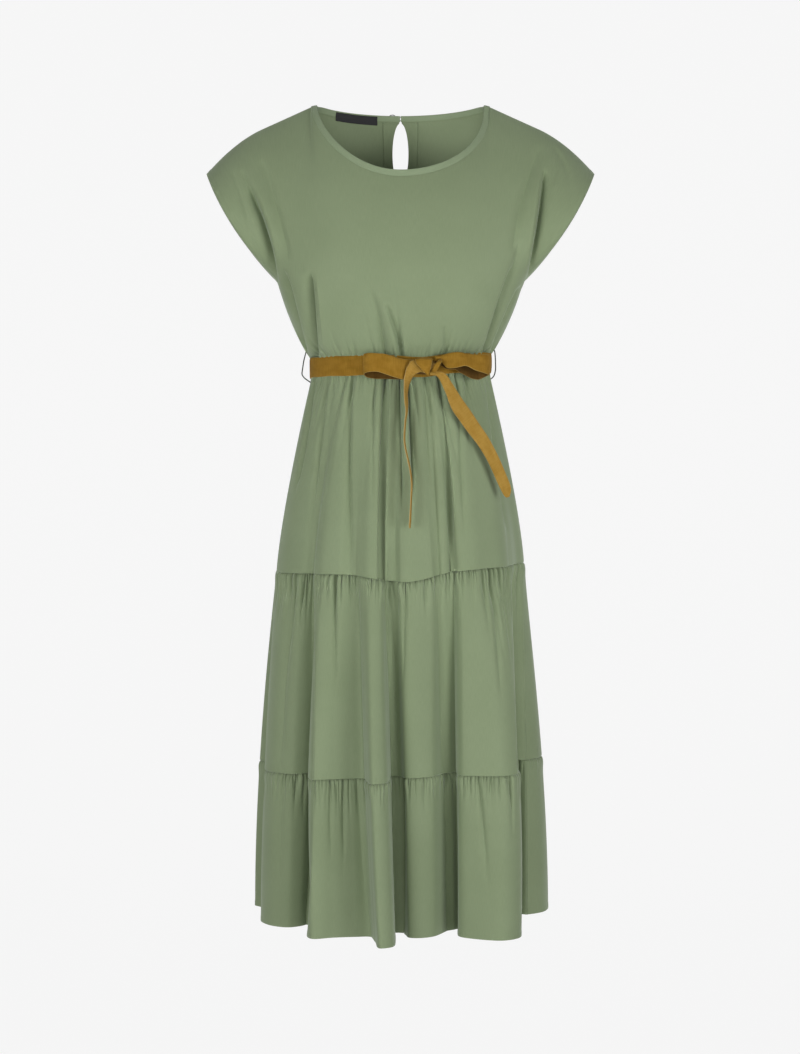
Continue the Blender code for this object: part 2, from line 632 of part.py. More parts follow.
def build_facing(cutter):
    """A strip round the keyhole, made from the back panel's points moved in."""
    columns = panel_columns()
    columns = columns[np.abs(columns) < FACING_HALF_SHARE]
    rows = [row for row in PANEL_ROWS if 0 < row < FACING_LOW]
    u, v = np.meshgrid(
        np.hstack([-FACING_HALF_SHARE, columns, FACING_HALF_SHARE]), [FACING_TOP, *rows, FACING_LOW]
    )
    normal = panel_normals(BACK, u, v)
    middle = panel(BACK, u, v) - normal * (CLOTH / 2 + SEAM + FACING_CLOTH / 2)
    cut(wall("keyhole_facing", middle, normal, FACING_CLOTH, ("sage viscose", SAGE, 0.62)), cutter)


def build_label():
    """A plain woven label on the inside of the back neck, over the binding's lower part."""
    columns = panel_columns()
    columns = columns[(columns > LABEL_LEFT) & (columns < LABEL_RIGHT)]
    lift = -(BINDING / 2 + SEAM + LABEL_CLOTH / 2)
    middle, outward = neck_strip(BACK, columns, (-LABEL_BELOW_SEAM, 0, LABEL_ABOVE_SEAM), lift)
    wall("neck_label", middle, outward, LABEL_CLOTH, ("black label", BLACK, 0.7))


def build_fastening():
    """A small shanked button on the left end of the binding, outside, and a thread loop from the right end."""
    middle, outward = neck_strip(BACK, np.array([BUTTON_SHARE]), (BINDING_WIDTH / 2,), 0)
    seat, out = Vector(middle[0, 0]), Vector(outward[0, 0])
    work = bmesh.new()
    face_radius = BUTTON_RADIUS * 0.82
    bmesh.ops.create_cone(
        work, cap_ends=True, segments=20, radius1=BUTTON_RADIUS, radius2=face_radius, depth=BUTTON_HEIGHT
    )
    mesh = bpy.data.meshes.new("neck_button")
    work.to_mesh(mesh)
    work.free()
    mesh.materials.append(material("sage button", SAGE_DARK, 0.35))
    button = bpy.data.objects.new("neck_button", mesh)
    button.rotation_mode = "QUATERNION"
    button.rotation_quaternion = Vector((0, 0, 1)).rotation_difference(out)
    button.location = seat + out * (BINDING / 2 + SEAM + BUTTON_HEIGHT / 2)
    bpy.context.scene.collection.objects.link(button)

    start, _ = neck_strip(BACK, np.array([LOOP_SHARE]), (BINDING_WIDTH / 2,), 0)
    anchor = Vector(start[0, 0]) + out * (BINDING / 2 + SEAM + LOOP_THREAD / 2)
    sideways = Vector((1, 0, 0))
    upright = out.cross(sideways)
    centre = button.location - out * (BUTTON_HEIGHT / 2 - LOOP_THREAD / 2)
    swing = BUTTON_RADIUS + LOOP_THREAD
    loop = [anchor + upright * LOOP_ENDS_APART / 2]
    loop += [centre + sideways * swing * math.cos(a) + upright * swing * math.sin(a)
             for a in np.radians(np.linspace(40, 320, 15))]
    loop += [anchor - upright * LOOP_ENDS_APART / 2]
    tube("neck_button_loop", loop, LOOP_THREAD / 2, ("sage thread", SAGE_DARK, 0.7), 6)


# ---------------------------------------------------------------- belt and its carriers

def tube(name, route, radius, finish, sides):
    """A round thread along the route, closed at both ends."""
    route = np.array([tuple(point) for point in route])
    along = unit(np.gradient(route, axis=0))
    spare = np.array([0.0, 1.0, 0.0])
    first = unit(np.cross(along, spare))
    second = np.cross(along, first)
    angle = np.arange(sides) * 2 * math.pi / sides
    rings = (route[:, None] + radius * (np.cos(angle)[:, None] * first[:, None]
                                        + np.sin(angle)[:, None] * second[:, None]))
    faces = []
    for ring in range(len(route) - 1):
        for side in range(sides):
            after = (side + 1) % sides
            a, b = ring * sides + side, ring * sides + after
            faces.append((a, b, b + sides, a + sides))
    last = (len(rings) - 1) * sides
    faces += [tuple(range(sides - 1, -1, -1)), tuple(range(last, last + sides))]
    return add_object(name, rings.reshape(-1, 3), faces, finish)


def belt_height(x):
    return WAIST_Z + 0.0002 + WAIST_TILT * x


def ribbon(name, route, across, width, thickness):
    """A flat strip along the route, with its width along across."""
    route, across = np.array(route, float), unit(np.array(across, float))
    along = unit(np.gradient(route, axis=0))
    outward = unit(np.cross(along, across))
    width = np.broadcast_to(width, len(route))[:, None]
    shares = np.linspace(-0.5, 0.5, 3)
    middle = np.array([route + across * width * share for share in shares])
    return wall(name, middle, np.broadcast_to(outward, middle.shape), thickness, ("ochre suede", OCHRE, 0.8))


def smooth_route(stations, count):
    """A smooth route through the stations, rows of numbers, evenly spread over their index."""
    stations = np.array(stations, float)
    index = np.arange(len(stations))
    at = np.linspace(0, len(stations) - 1, count)
    return np.column_stack([through(index, column, at) for column in stations.T])


# The bow's loops, in mm: from the knot along the front layer to the tip and back along the rear layer.
# tilt leans the width forward at its foot.
Station = namedtuple("Station", "x y z width tilt")
LEFT_LOOP = [Station(*row) for row in (
    (12.3, -109.5, -383.5, 22, 0.08), (-14, -117, -379, 31, 0.16), (-36, -119.5, -375, 30, 0.20),
    (-49, -113, -373, 28, 0.16), (-51.5, -106, -373, 28, 0.05), (-44, -101.6, -374, 28, -0.12),
    (-22, -104, -376.5, 28, -0.14), (12.3, -103.8, -382, 20, -0.05),
)]
RIGHT_LOOP = [Station(*row) for row in (
    (56.4, -103.2, -381, 14, 0.10), (76, -111, -368.5, 24, 0.22), (97, -107, -367.5, 30, 0.26),
    (116, -98, -369.5, 30, 0.15), (121, -89, -370.5, 29, 0.0), (113, -84, -371.5, 29, -0.14),
    (92, -92.5, -372, 28, -0.20), (56.6, -97.8, -380.5, 14, -0.06),
)]
# The tails: x and z seen from the front, off is how far they stand off the skirt, turn is the angle of the
# width from straight across, in degrees about the tail's own run.
TailStation = namedtuple("TailStation", "x z width off turn")
LEFT_TAIL = [TailStation(*row) for row in (
    (22, -379, 14, 16.8, 0), (13, -391, 18, 17.2, 4), (8, -410, 17, 12, 20), (6.5, -436, 17, 7, 62),
    (6.5, -462, 17, 7, 86), (7.5, -492, 17, 8, 92), (12.5, -520, 17, 8, 88), (13.5, -545, 17, 8, 84),
    (13, -575, 16, 8, 78), (12, -607, 13, 8, 72),
)]
RIGHT_TAIL = [TailStation(*row) for row in (
    (43, -386, 11, 12.9, 0), (55, -393, 14, 12.4, 0), (66, -406, 18, 11, 0), (78, -425, 19, 8, 2),
    (95, -452, 20, 6, 2), (114, -480, 21, 6, 2), (131, -507, 21, 6, 0), (145, -537, 19, 6, 0),
    (151, -560, 13, 6, 0),
)]


TAIL_REACH = 0.014


def skirt_front_points():
    turns = np.linspace(seam_turn(LEFT_SEAM_FOLD), seam_turn(RIGHT_SEAM_FOLD), 400)
    middle, _ = tier_points(TIERS[0], turns, np.linspace(0, 1, 60))
    return middle.reshape(-1, 3)


def in_front_of(cloth, x, z):
    """The foremost y of the cloth's points near (x, z), seen from the front."""
    near = np.hypot(cloth[:, 0] - x, cloth[:, 2] - z) < TAIL_REACH
    return cloth[near, 1].min()


def build_tail(name, stations, cloth):
    """A tail hangs in front of the cloth and of the band, which it follows smoothed over 5 of its rows."""
    rows = smooth_route([(s.x, s.z, s.width, s.off, s.turn) for s in stations], 3 * len(stations) - 2)
    x, z, width, off = (rows[:, i] * MM for i in range(4))
    turn = np.radians(rows[:, 4])
    y = np.array([in_front_of(cloth, *place) for place in zip(x, z)])
    y = np.convolve(np.pad(y, 2, mode="edge"), np.ones(5) / 5, mode="valid")
    band_front = -(WAIST_FRONT + BELT_EASE + SUEDE)
    y = np.minimum(y, band_front) - off - width / 2 * np.abs(np.sin(turn))
    route = np.column_stack([x, y, z])
    along = unit(np.gradient(route, axis=0))
    sideways = unit(np.cross(along, np.array([0, -1.0, 0])))
    forward = np.cross(sideways, along)
    across = sideways * np.cos(turn)[:, None] + forward * np.sin(turn)[:, None]
    ribbon(name, route, across, width, SUEDE)


def build_loop(name, stations):
    rows = smooth_route([(s.x, s.y, s.z, s.width, s.tilt) for s in stations], 3 * len(stations) - 2)
    route, width, tilt = rows[:, :3] * MM, rows[:, 3] * MM, rows[:, 4]
    across = np.column_stack([np.zeros(len(tilt)), np.sin(tilt), np.cos(tilt)])
    ribbon(name, route, across, width, SUEDE)


def build_band():
    """The belt's band: a level oval strip round the waist, tilted as the waist is."""
    columns = 56
    angle = np.arange(columns) * 2 * math.pi / columns
    depth = np.where(np.cos(angle) > 0, WAIST_FRONT, WAIST_BACK) + BELT_EASE
    x = (WAIST_HALF_WIDTH + BELT_EASE) * np.sin(angle)
    y = -depth * np.cos(angle)
    normal = unit(np.column_stack([x / (WAIST_HALF_WIDTH + BELT_EASE) ** 2, y / depth**2, 0 * x]))
    rows = np.array([np.column_stack([x, y, belt_height(x) + share * BELT_WIDTH]) for share in (-0.5, 0, 0.5)])
    wall("belt_band", rows, np.broadcast_to(normal, rows.shape), SUEDE, ("ochre suede", OCHRE, 0.8), ring=True)


KNOT_X, KNOT_Z = 0.0325, -0.3838
KNOT_WIDTH, KNOT_DEPTH, KNOT_HEIGHT = 0.0425, 0.0165, 0.0245
KNOT_FOOT_SHARE, KNOT_ROUNDING = 0.86, 0.0045


def build_knot():
    """The knot: a rounded block seated square on the band, wider above than below."""
    half_width, band_front = WAIST_HALF_WIDTH + BELT_EASE, WAIST_FRONT + BELT_EASE
    seat = Vector((KNOT_X, -band_front * math.sqrt(1 - (KNOT_X / half_width) ** 2), KNOT_Z))
    out = Vector((seat.x / half_width**2, seat.y / band_front**2, 0)).normalized()
    work = bmesh.new()
    bmesh.ops.create_cube(work, size=1)
    for vertex in work.verts:
        width = KNOT_WIDTH * (KNOT_FOOT_SHARE if vertex.co.z < 0 else 1)
        vertex.co = Vector((vertex.co.x * width, vertex.co.y * KNOT_DEPTH, vertex.co.z * KNOT_HEIGHT))
    mesh = bpy.data.meshes.new("belt_knot")
    work.to_mesh(mesh)
    work.free()
    mesh.shade_smooth()
    mesh.materials.append(material("ochre suede", OCHRE, 0.8))
    knot = bpy.data.objects.new("belt_knot", mesh)
    knot.location = seat + out * (SUEDE / 2 + SEAM + KNOT_DEPTH / 2)
    knot.rotation_euler.z = math.atan2(out.x, -out.y)
    bevel = knot.modifiers.new("rounding", "BEVEL")
    bevel.width = KNOT_ROUNDING
    bevel.segments = 3
    bpy.context.scene.collection.objects.link(knot)


CARRIER_THREAD = 0.0014
CARRIER_ABOVE, CARRIER_BELOW = 0.0275, 0.0240
CARRIER_SLACK = {"left": 0.0082, "right": 0.0030}
# How far the skirt's side has already swung out at the carrier's lower end.
CARRIER_FOOT_OUT = 0.0024


def build_carriers():
    """A thread loop at each side seam, standing off the belt: from above it, out, and back in below it."""
    off_cloth = CLOTH / 2 + SEAM + CARRIER_THREAD / 2
    for label, hand in (("left", -1), ("right", 1)):
        centre = belt_height(hand * WAIST_HALF_WIDTH)
        above = centre + CARRIER_ABOVE
        high = section_at(above - WAIST_TILT * hand * WAIST_HALF_WIDTH, "half_width") + off_cloth
        low = WAIST_HALF_WIDTH + off_cloth + CARRIER_FOOT_OUT
        out = WAIST_HALF_WIDTH + BELT_EASE + SUEDE + CARRIER_SLACK[label]
        stations = (
            (high, above), (max(high, out - 0.0008), centre + 0.0150), (out, centre + 0.0020),
            (out + 0.0004, centre - 0.0080), (out - 0.0030, centre - 0.0165), (low, centre - CARRIER_BELOW),
        )
        route = [(hand * x, 0.0, z) for x, z in smooth_route(stations, 16)]
        tube(f"belt_carrier_{label}", route, CARRIER_THREAD / 2, ("sage thread", SAGE_DARK, 0.7), 6)


def clear_scene():
    for found in list(bpy.data.objects):
        bpy.data.objects.remove(found, do_unlink=True)


clear_scene()
build_skirt()
build_bodice()
build_band()
build_knot()
build_loop("bow_loop_left", LEFT_LOOP)
build_loop("bow_loop_right", RIGHT_LOOP)
skirt_front = skirt_front_points()
build_tail("belt_tail_left", LEFT_TAIL, skirt_front)
build_tail("belt_tail_right", RIGHT_TAIL, skirt_front)
build_carriers()
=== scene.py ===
"""The looks of a midi dress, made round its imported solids: cap sleeves cut in one with the bodice, a skirt of
three gathered tiers, and a suede belt tied in a bow.

Metres, +Z up. The dress faces -Y and hangs filled out from its shoulders; left and right are as seen from the
front. Each piece of cloth is a surface of two parameters, worked out as one array on a fine grid and given a
thickness along its normals. Tables are in millimetres and degrees.
"""

import math
from collections import namedtuple

import bpy
import numpy as np
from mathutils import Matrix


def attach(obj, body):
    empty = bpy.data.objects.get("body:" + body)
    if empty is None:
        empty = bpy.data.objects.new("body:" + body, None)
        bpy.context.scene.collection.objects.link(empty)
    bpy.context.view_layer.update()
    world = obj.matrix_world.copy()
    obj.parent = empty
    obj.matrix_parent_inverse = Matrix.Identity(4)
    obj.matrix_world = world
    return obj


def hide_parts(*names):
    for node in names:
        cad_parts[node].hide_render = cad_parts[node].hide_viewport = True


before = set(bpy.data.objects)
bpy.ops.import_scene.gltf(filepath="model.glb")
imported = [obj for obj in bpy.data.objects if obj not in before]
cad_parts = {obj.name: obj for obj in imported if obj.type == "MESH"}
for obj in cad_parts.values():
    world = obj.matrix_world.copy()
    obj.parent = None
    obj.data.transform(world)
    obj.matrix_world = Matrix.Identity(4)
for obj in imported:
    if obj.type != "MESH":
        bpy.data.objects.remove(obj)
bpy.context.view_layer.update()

MM = 0.001
FRONT, BACK = -1, 1

# The dress's driving sizes.
CLOTH, BINDING, SUEDE, SEAM = 0.0009, 0.0018, 0.0014, 0.0003
WAIST_Z, WAIST_TILT, HEM_Z = -0.3762, 0.022, -1.1725
WAIST_HALF_WIDTH, WAIST_FRONT, WAIST_BACK = 0.1292, 0.0924, 0.0824
BELT_WIDTH, BELT_EASE = 0.0284, 0.0014


# ---------------------------------------------------------------- curves

# A crimp's bell falls with this power of the distance; a bump's falls with its square.
CRIMP_POWER = 1.35


def unit(vectors):
    return vectors / np.maximum(np.linalg.norm(vectors, axis=-1, keepdims=True), 1e-12)


def cubic(u, gap, start, start_slope, end, end_slope):
    """The cubic between two values with these slopes, at u from 0 to 1 of a span that is gap long."""
    return ((2 * u**3 - 3 * u**2 + 1) * start + (u**3 - 2 * u**2 + u) * gap * start_slope
            + (3 * u**2 - 2 * u**3) * end + (u**3 - u**2) * gap * end_slope)


def through(xs, ys, at):
    """A smooth curve through the points (xs, ys): cubics with slopes from the chords beside each point."""
    xs, ys, at = np.asarray(xs, float), np.asarray(ys, float), np.asarray(at, float)
    slope = np.gradient(ys, xs)
    index = np.clip(np.searchsorted(xs, at) - 1, 0, len(xs) - 2)
    gap = xs[index + 1] - xs[index]
    u = np.clip((at - xs[index]) / gap, 0, 1)
    return cubic(u, gap, ys[index], slope[index], ys[index + 1], slope[index + 1])


def through_ring(points, knots, at):
    """Closed cubics through points (..., n, 2), one at each knot, read at the values of at.

    A point's slope is its two chords' slopes, weighted by each other's length.
    """
    gaps = np.diff(knots)[:, None]
    chord = (np.roll(points, -1, -2) - points) / gaps
    before, gap_before = np.roll(chord, 1, -2), np.roll(gaps, 1, 0)
    slope = (chord * gap_before + before * gaps) / (gaps + gap_before)
    at = np.mod(at, knots[-1])
    index = np.clip(np.searchsorted(knots, at, side="right") - 1, 0, len(gaps) - 1)
    after = (index + 1) % len(gaps)
    gap = gaps[index]
    u = (at - knots[index])[:, None] / gap
    return cubic(u, gap, points[..., index, :], slope[..., index, :],
                 points[..., after, :], slope[..., after, :])


def smooth_route(stations, count):
    """A smooth route through the stations, rows of numbers, evenly spread over their index."""
    stations = np.array(stations, float)
    index = np.arange(len(stations))
    at = np.linspace(0, len(stations) - 1, count)
    return np.column_stack([through(index, column, at) for column in stations.T])


def smoothed(rows, width):
    """The moving average of each column over width rows, with the end rows held."""
    padded = np.pad(rows, ((width // 2, width // 2), (0, 0)), mode="edge")
    return np.column_stack([np.convolve(column, np.ones(width) / width, mode="valid") for column in padded.T])


def signed_power(value, power):
    """A power of the value's size, with the value's sign."""
    return np.sign(value) * np.abs(value) ** power


def bump(gap, reach):
    """A soft bell, 1 at no gap."""
    return np.exp(-(gap / reach) ** 2)


def crimp(gap, reach):
    """A bell with a sharper top than bump, for the bottom of a crease."""
    return np.exp(-np.abs(gap / reach) ** CRIMP_POWER)


def run_along(points, axis):
    """The distance walked over a grid along one axis, from its start."""
    steps = np.linalg.norm(np.diff(points, axis=axis), axis=-1)
    start = np.zeros_like(np.take(steps, [0], axis=axis))
    return np.concatenate([start, np.cumsum(steps, axis=axis)], axis=axis)


# ---------------------------------------------------------------- meshes

def add_piece(name, points, faces, finish, replaces, uv):
    """A mesh piece that rides on the dress. uv gives each point its place on the flat cloth, in metres."""
    mesh = bpy.data.meshes.new(name)
    mesh.from_pydata(points.tolist(), [], [face.tolist() for face in faces])
    corners = np.concatenate(list(faces))
    mesh.uv_layers.new(name="cloth").data.foreach_set("uv", uv[corners].astype(np.float32).ravel())
    mesh.shade_smooth()
    mesh.materials.append(finish)
    piece = bpy.data.objects.new(name, mesh)
    bpy.context.scene.collection.objects.link(piece)
    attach(piece, "root")
    if replaces:
        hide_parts(*replaces)
    return piece


def index_faces(index):
    """The four-cornered faces of a grid of point numbers."""
    corners = (index[:-1, :-1], index[:-1, 1:], index[1:, 1:], index[1:, :-1])
    return np.stack(corners, axis=-1).reshape(-1, 4)


def grid_faces(rows, columns, ring=False):
    """The faces of a grid numbered row by row; a ring joins its last column to its first."""
    index = np.arange(rows * columns).reshape(rows, columns)
    return index_faces(np.hstack([index, index[:, :1]]) if ring else index)


def grid_normals(points):
    """Unit normals of a grid: the step down its rows crossed with the step along its columns."""
    return unit(np.cross(np.gradient(points, axis=0), np.gradient(points, axis=1)))


def wound_inwards(points, faces, outward):
    """Whether the faces are wound against outward, which is given at the first corner of each."""
    corner = points[faces]
    turn = np.cross(corner[:, 1] - corner[:, 0], corner[:, 3] - corner[:, 0])
    return np.sum(turn * outward) < 0


def open_edges(faces):
    """The directed edges that one face alone uses."""
    edges = np.stack([faces, np.roll(faces, -1, axis=1)], axis=-1).reshape(-1, 2).astype(np.int64)
    size = edges.max() + 1
    return edges[~np.isin(edges[:, 0] * size + edges[:, 1], edges[:, 1] * size + edges[:, 0])]


def shell(name, middle, outward, thickness, finish, replaces=(), faces=None, ring=False, uv=None,
          inside=None):
    """A closed shell: a grid moved half its thickness each way along outward, with its open edges walled.

    inside, if given, is the finish of the side away from outward.
    """
    rows, columns = middle.shape[:2]
    faces = grid_faces(rows, columns, ring) if faces is None else faces
    uv = flat_map(middle) if uv is None else uv
    middle, outward, uv = middle.reshape(-1, 3), outward.reshape(-1, 3), uv.reshape(-1, 2)
    half = outward * (np.broadcast_to(thickness, (rows, columns)).reshape(-1, 1) / 2)
    used, faces = np.unique(faces, return_inverse=True)
    faces = faces.reshape(-1, 4)
    middle, half, uv = middle[used], half[used], uv[used]
    if wound_inwards(middle, faces, half[faces[:, 0]]):
        faces = faces[:, ::-1]
    start, end = open_edges(faces).T
    count = len(middle)
    rim = np.stack([end, start, start + count, end + count], axis=1)
    faces = np.concatenate([faces, faces[:, ::-1] + count, rim])
    points = np.concatenate([middle + half, middle - half])
    made = add_piece(name, points, faces, finish, replaces, np.concatenate([uv, uv]))
    if inside is not None:
        made.data.materials.append(inside)
        each = (len(faces) - len(rim)) // 2
        finishes = np.repeat([0, 1, 0], [each, each, len(rim)]).astype(np.int32)
        made.data.polygons.foreach_set("material_index", finishes)
    return made


def flat_map(points):
    """Each grid point's place on the flat cloth: how far along the middle row and down the middle column."""
    across = run_along(points, 1)[len(points) // 2]
    down = run_along(points, 0)[:, points.shape[1] // 2]
    return np.stack(np.meshgrid(across, down), axis=-1)


def loft(name, centres, sides, finish, replaces):
    """A solid rope of rings (rows, n, 3) round centres (rows, 3), with a point closing each end."""
    rows, columns = sides.shape[:2]
    faces = grid_faces(rows, columns, ring=True)
    first, last = np.arange(columns), np.arange(columns) + (rows - 1) * columns
    near, far = rows * columns, rows * columns + 1
    caps = [np.stack([np.full(columns, near), np.roll(first, -1), first], axis=1),
            np.stack([np.full(columns, far), last, np.roll(last, -1)], axis=1)]
    points = np.concatenate([sides.reshape(-1, 3), centres[:1], centres[-1:]])
    if wound_inwards(points, faces, points[faces[:, 0]] - np.repeat(centres[:-1], columns, axis=0)):
        faces, caps = faces[:, ::-1], [cap[:, ::-1] for cap in caps]
    along = run_along(sides, 0)[:, 0]
    round_it = run_along(sides, 1)[0]
    uv = np.stack(np.meshgrid(round_it, along), axis=-1).reshape(-1, 2)
    uv = np.concatenate([uv, uv[:1], uv[-1:]])
    return add_piece(name, points, [*faces, *caps[0], *caps[1]], finish, replaces, uv)


def turns(count):
    """Angles spread evenly over a full turn."""
    return np.arange(count) * 2 * math.pi / count


def tube_sides(route, radius):
    """Rings of THREAD_SIDES points round a route that nowhere runs straight back."""
    along = unit(np.gradient(route, axis=0))
    first = unit(np.cross(along, (0.0, 1.0, 0.0)))
    second = np.cross(along, first)
    angle = turns(THREAD_SIDES)[:, None]
    return route[:, None] + radius * (np.cos(angle) * first[:, None] + np.sin(angle) * second[:, None])


# ---------------------------------------------------------------- finishes

# Noise is scaled in repeats per metre, along and down the flat cloth (uv) or through the dress (place).
# A tone is a weighted sum of noises, and a height is in millimetres.

class Field:
    """A value that varies over a surface: an output socket, with Math nodes behind its operators."""

    def __init__(self, socket):
        self.socket = socket

    def node(self, kind, settings=(), inputs=(), outlet=0):
        """A new node: its settings are set first, then its sockets, given by name or number."""
        return new_node(self.socket.id_data, kind, settings, inputs, outlet)

    def math(self, operation, *others):
        return self.node("ShaderNodeMath", {"operation": operation}, enumerate((self, *others)))

    def __add__(self, other):
        return self.math("ADD", other)

    def __mul__(self, other):
        return self.math("MULTIPLY", other)

    def between(self, low, high, start=0.0, end=1.0):
        """Rises softly from start at low to end at high."""
        inputs = {"Value": self, "From Min": low, "From Max": high, "To Min": start, "To Max": end}
        return self.node("ShaderNodeMapRange", {"interpolation_type": "SMOOTHSTEP"}, inputs)

    def mix(self, first, second):
        """The colour first where the field is 0, and second where it is 1."""
        inputs = {"Factor": self, 6: first, 7: second}
        return self.node("ShaderNodeMix", {"data_type": "RGBA"}, inputs, outlet=2)

    def scaled(self, *factors):
        inputs = {0: self, 1: factors}
        return self.node("ShaderNodeVectorMath", {"operation": "MULTIPLY"}, inputs)

    def wave(self):
        """A sine that runs between 0 and 1."""
        return self.math("SINE") * 0.5 + 0.5

    def noise(self, scale, detail):
        return self.node("ShaderNodeTexNoise", (), {"Vector": self, "Scale": scale, "Detail": detail})

    def part(self, outlet):
        """One number of a vector field: 0, 1 or 2."""
        return self.node("ShaderNodeSeparateXYZ", (), {0: self}, outlet)


def new_node(tree, kind, settings=(), inputs=(), outlet=0):
    made = tree.nodes.new(kind)
    for key, value in dict(settings).items():
        setattr(made, key, value)
    for key, value in dict(inputs).items():
        if isinstance(value, Field):
            tree.links.new(value.socket, made.inputs[key])
        else:
            made.inputs[key].default_value = value
    return Field(made.outputs[outlet])


def finish(name, paint, **constants):
    """A material on one Principled shader. paint(uv, place) gives the sockets that vary, and a height."""
    made = bpy.data.materials.new(name)
    made.use_nodes = True
    tree = made.node_tree
    shader = tree.nodes["Principled BSDF"]
    for key, value in constants.items():
        shader.inputs[key.replace("_", " ")].default_value = value
    uv = new_node(tree, "ShaderNodeUVMap", {"uv_map": "cloth"})
    place = new_node(tree, "ShaderNodeTexCoord", outlet=3)
    varying = paint(uv, place)
    height, strength = varying.pop("height", None), varying.pop("strength", 1.0)
    if height is not None:
        inputs = {"Height": height, "Strength": strength, "Distance": MM}
        varying["Normal"] = new_node(tree, "ShaderNodeBump", (), inputs)
    for key, value in varying.items():
        tree.links.new(value.socket, shader.inputs[key])
    return made


def viscose(name, dark, light, gathered=0.0):
    """Soft viscose: a fine plain weave with slubs down the cloth, a little patchy, with a low sheen.

    gathered is how far down from the piece's upper edge fine crinkles run.
    """
    def paint(uv, place):
        slub = uv.scaled(1500, 90, 1).noise(1.0, 3)
        grain = uv.scaled(2600, 2600, 1).noise(1.0, 2)
        patch = place.noise(9.0, 2)
        tone = slub.between(0.25, 0.75) * 0.45 + grain.between(0.3, 0.7) * 0.2
        tone = tone + patch.between(0.3, 0.7) * 0.35
        height = slub * 0.05 + grain * 0.035
        if gathered:
            crinkle = uv.scaled(240, 9, 1).noise(1.0, 1) * uv.part(1).between(0, gathered, 1, 0)
            height = height + crinkle * 3.2
        return {"Base Color": tone.mix(dark, light), "Roughness": tone.between(0, 1, 0.74, 0.62),
                "height": height}
    return finish(name, paint, Sheen_Weight=0.40, Sheen_Roughness=0.5, Specular_IOR_Level=0.25,
                  Sheen_Tint=(0.80, 0.90, 0.76, 1))


# Where a strip's paler cut edge starts and is full, as shares of its width from the middle.
CUT_EDGE_STARTS, CUT_EDGE_FULL = 0.47, 0.497


def suede(name, dark, light, edge):
    """Soft suede: a short nap, a patchy tone, fine ribs across the strip, and paler cut edges."""
    def paint(uv, place):
        nap = uv.scaled(900, 900, 1).noise(1.0, 3)
        patch = uv.scaled(45, 90, 1).noise(1.0, 3)
        rib = uv.scaled(620, 50, 1).noise(1.0, 2)
        tone = nap.between(0.25, 0.75) * 0.2 + patch.between(0.3, 0.7) * 0.45
        tone = tone + rib.between(0.3, 0.7) * 0.35
        cut = uv.part(1).math("ABSOLUTE").between(CUT_EDGE_STARTS * BELT_WIDTH, CUT_EDGE_FULL * BELT_WIDTH)
        return {"Base Color": cut.mix(tone.mix(dark, light), edge),
                "Roughness": tone.between(0, 1, 0.95, 0.82),
                "height": nap * 0.2 + rib * 0.35, "strength": 0.6}
    return finish(name, paint, Sheen_Weight=0.12, Sheen_Roughness=0.5, Specular_IOR_Level=0.15,
                  Sheen_Tint=(0.85, 0.62, 0.30, 1))


def woven_label(name, dark, light):
    """Satin with fine ribs across it, LABEL_RIB apart."""
    def paint(uv, place):
        rib = (uv.part(1) * (2 * math.pi / LABEL_RIB)).wave()
        grain = uv.scaled(1800, 1800, 1).noise(1.0, 2)
        return {"Base Color": grain.mix(dark, light),
                "Roughness": rib.between(0, 1, 0.5, 0.62), "height": rib * 0.2 + grain * 0.1, "strength": 0.6}
    return finish(name, paint, Specular_IOR_Level=0.4)


def spun_thread(name, dark, light):
    """A plied thread: ridges that wind round it."""
    def paint(uv, place):
        ply = (uv.part(0) * PLY_ROUND + uv.part(1) * PLY_ALONG).wave()
        return {"Base Color": ply.mix(dark, light), "Roughness": ply.between(0, 1, 0.8, 0.6),
                "height": ply * 0.3, "strength": 0.8}
    return finish(name, paint, Sheen_Weight=0.2, Specular_IOR_Level=0.3)


def shell_button(name, dark, light):
    """Dyed shell with soft, cloudy light."""
    def paint(uv, place):
        tone = place.noise(420.0, 3).between(0.3, 0.7)
        return {"Base Color": tone.mix(dark, light), "Roughness": tone.between(0, 1, 0.30, 0.18)}
    return finish(name, paint, Coat_Weight=0.5, Specular_IOR_Level=0.6)


# The rib pitch of the label, and how fast a thread's plies turn round it and along it, in radians per metre.
LABEL_RIB = 0.0009
PLY_ROUND, PLY_ALONG = 900.0, 5200.0
# How far down a tier its fine crinkles run.
CRINKLED = 0.055
SAGE_TONES = (0.178, 0.226, 0.124, 1), (0.214, 0.268, 0.153, 1)

SAGE = viscose("sage viscose", *SAGE_TONES)
SAGE_GATHERED = viscose("sage viscose gathered", *SAGE_TONES, CRINKLED)
SAGE_BINDING = viscose("sage binding", (0.200, 0.256, 0.150, 1), (0.240, 0.300, 0.182, 1))
OCHRE = suede("ochre suede", (0.188, 0.094, 0.007, 1), (0.284, 0.157, 0.019, 1), (0.33, 0.22, 0.06, 1))
# A paler copy of the ochre suede for the tails, painted light: the tails stand forward into the light.
OCHRE_PAINTED_LIGHT = suede("ochre suede tails painted light", (0.240, 0.132, 0.018, 1), (0.350, 0.212, 0.044, 1),
                   (0.40, 0.29, 0.12, 1))
# A much darker copy of the ochre suede, painted shade: it lines the insides of the bow's loops and the knot's
# pad, which lie in shadow.
OCHRE_PAINTED_SHADE = suede("ochre suede painted shade", (0.050, 0.023, 0.003, 1), (0.095, 0.048, 0.007, 1),
                     (0.2, 0.12, 0.03, 1))
BLACK = woven_label("black label", (0.006, 0.006, 0.007, 1), (0.016, 0.016, 0.018, 1))
SAGE_THREAD = spun_thread("sage thread", (0.020, 0.027, 0.018, 1), (0.060, 0.075, 0.052, 1))
STITCH_THREAD = spun_thread("sage stitching", (0.150, 0.195, 0.115, 1), (0.25, 0.31, 0.20, 1))
BUTTON = shell_button("sage button", (0.12, 0.16, 0.10, 1), (0.45, 0.50, 0.40, 1))


# ---------------------------------------------------------------- creases and gathers

# Creases, in mm: a path through three points seen from the front, the depth of its middle (inwards positive)
# and how far it reaches to its left and right.
Crease = namedtuple("Crease", "name top_x top_z mid_x mid_z low_x low_z depth left right")
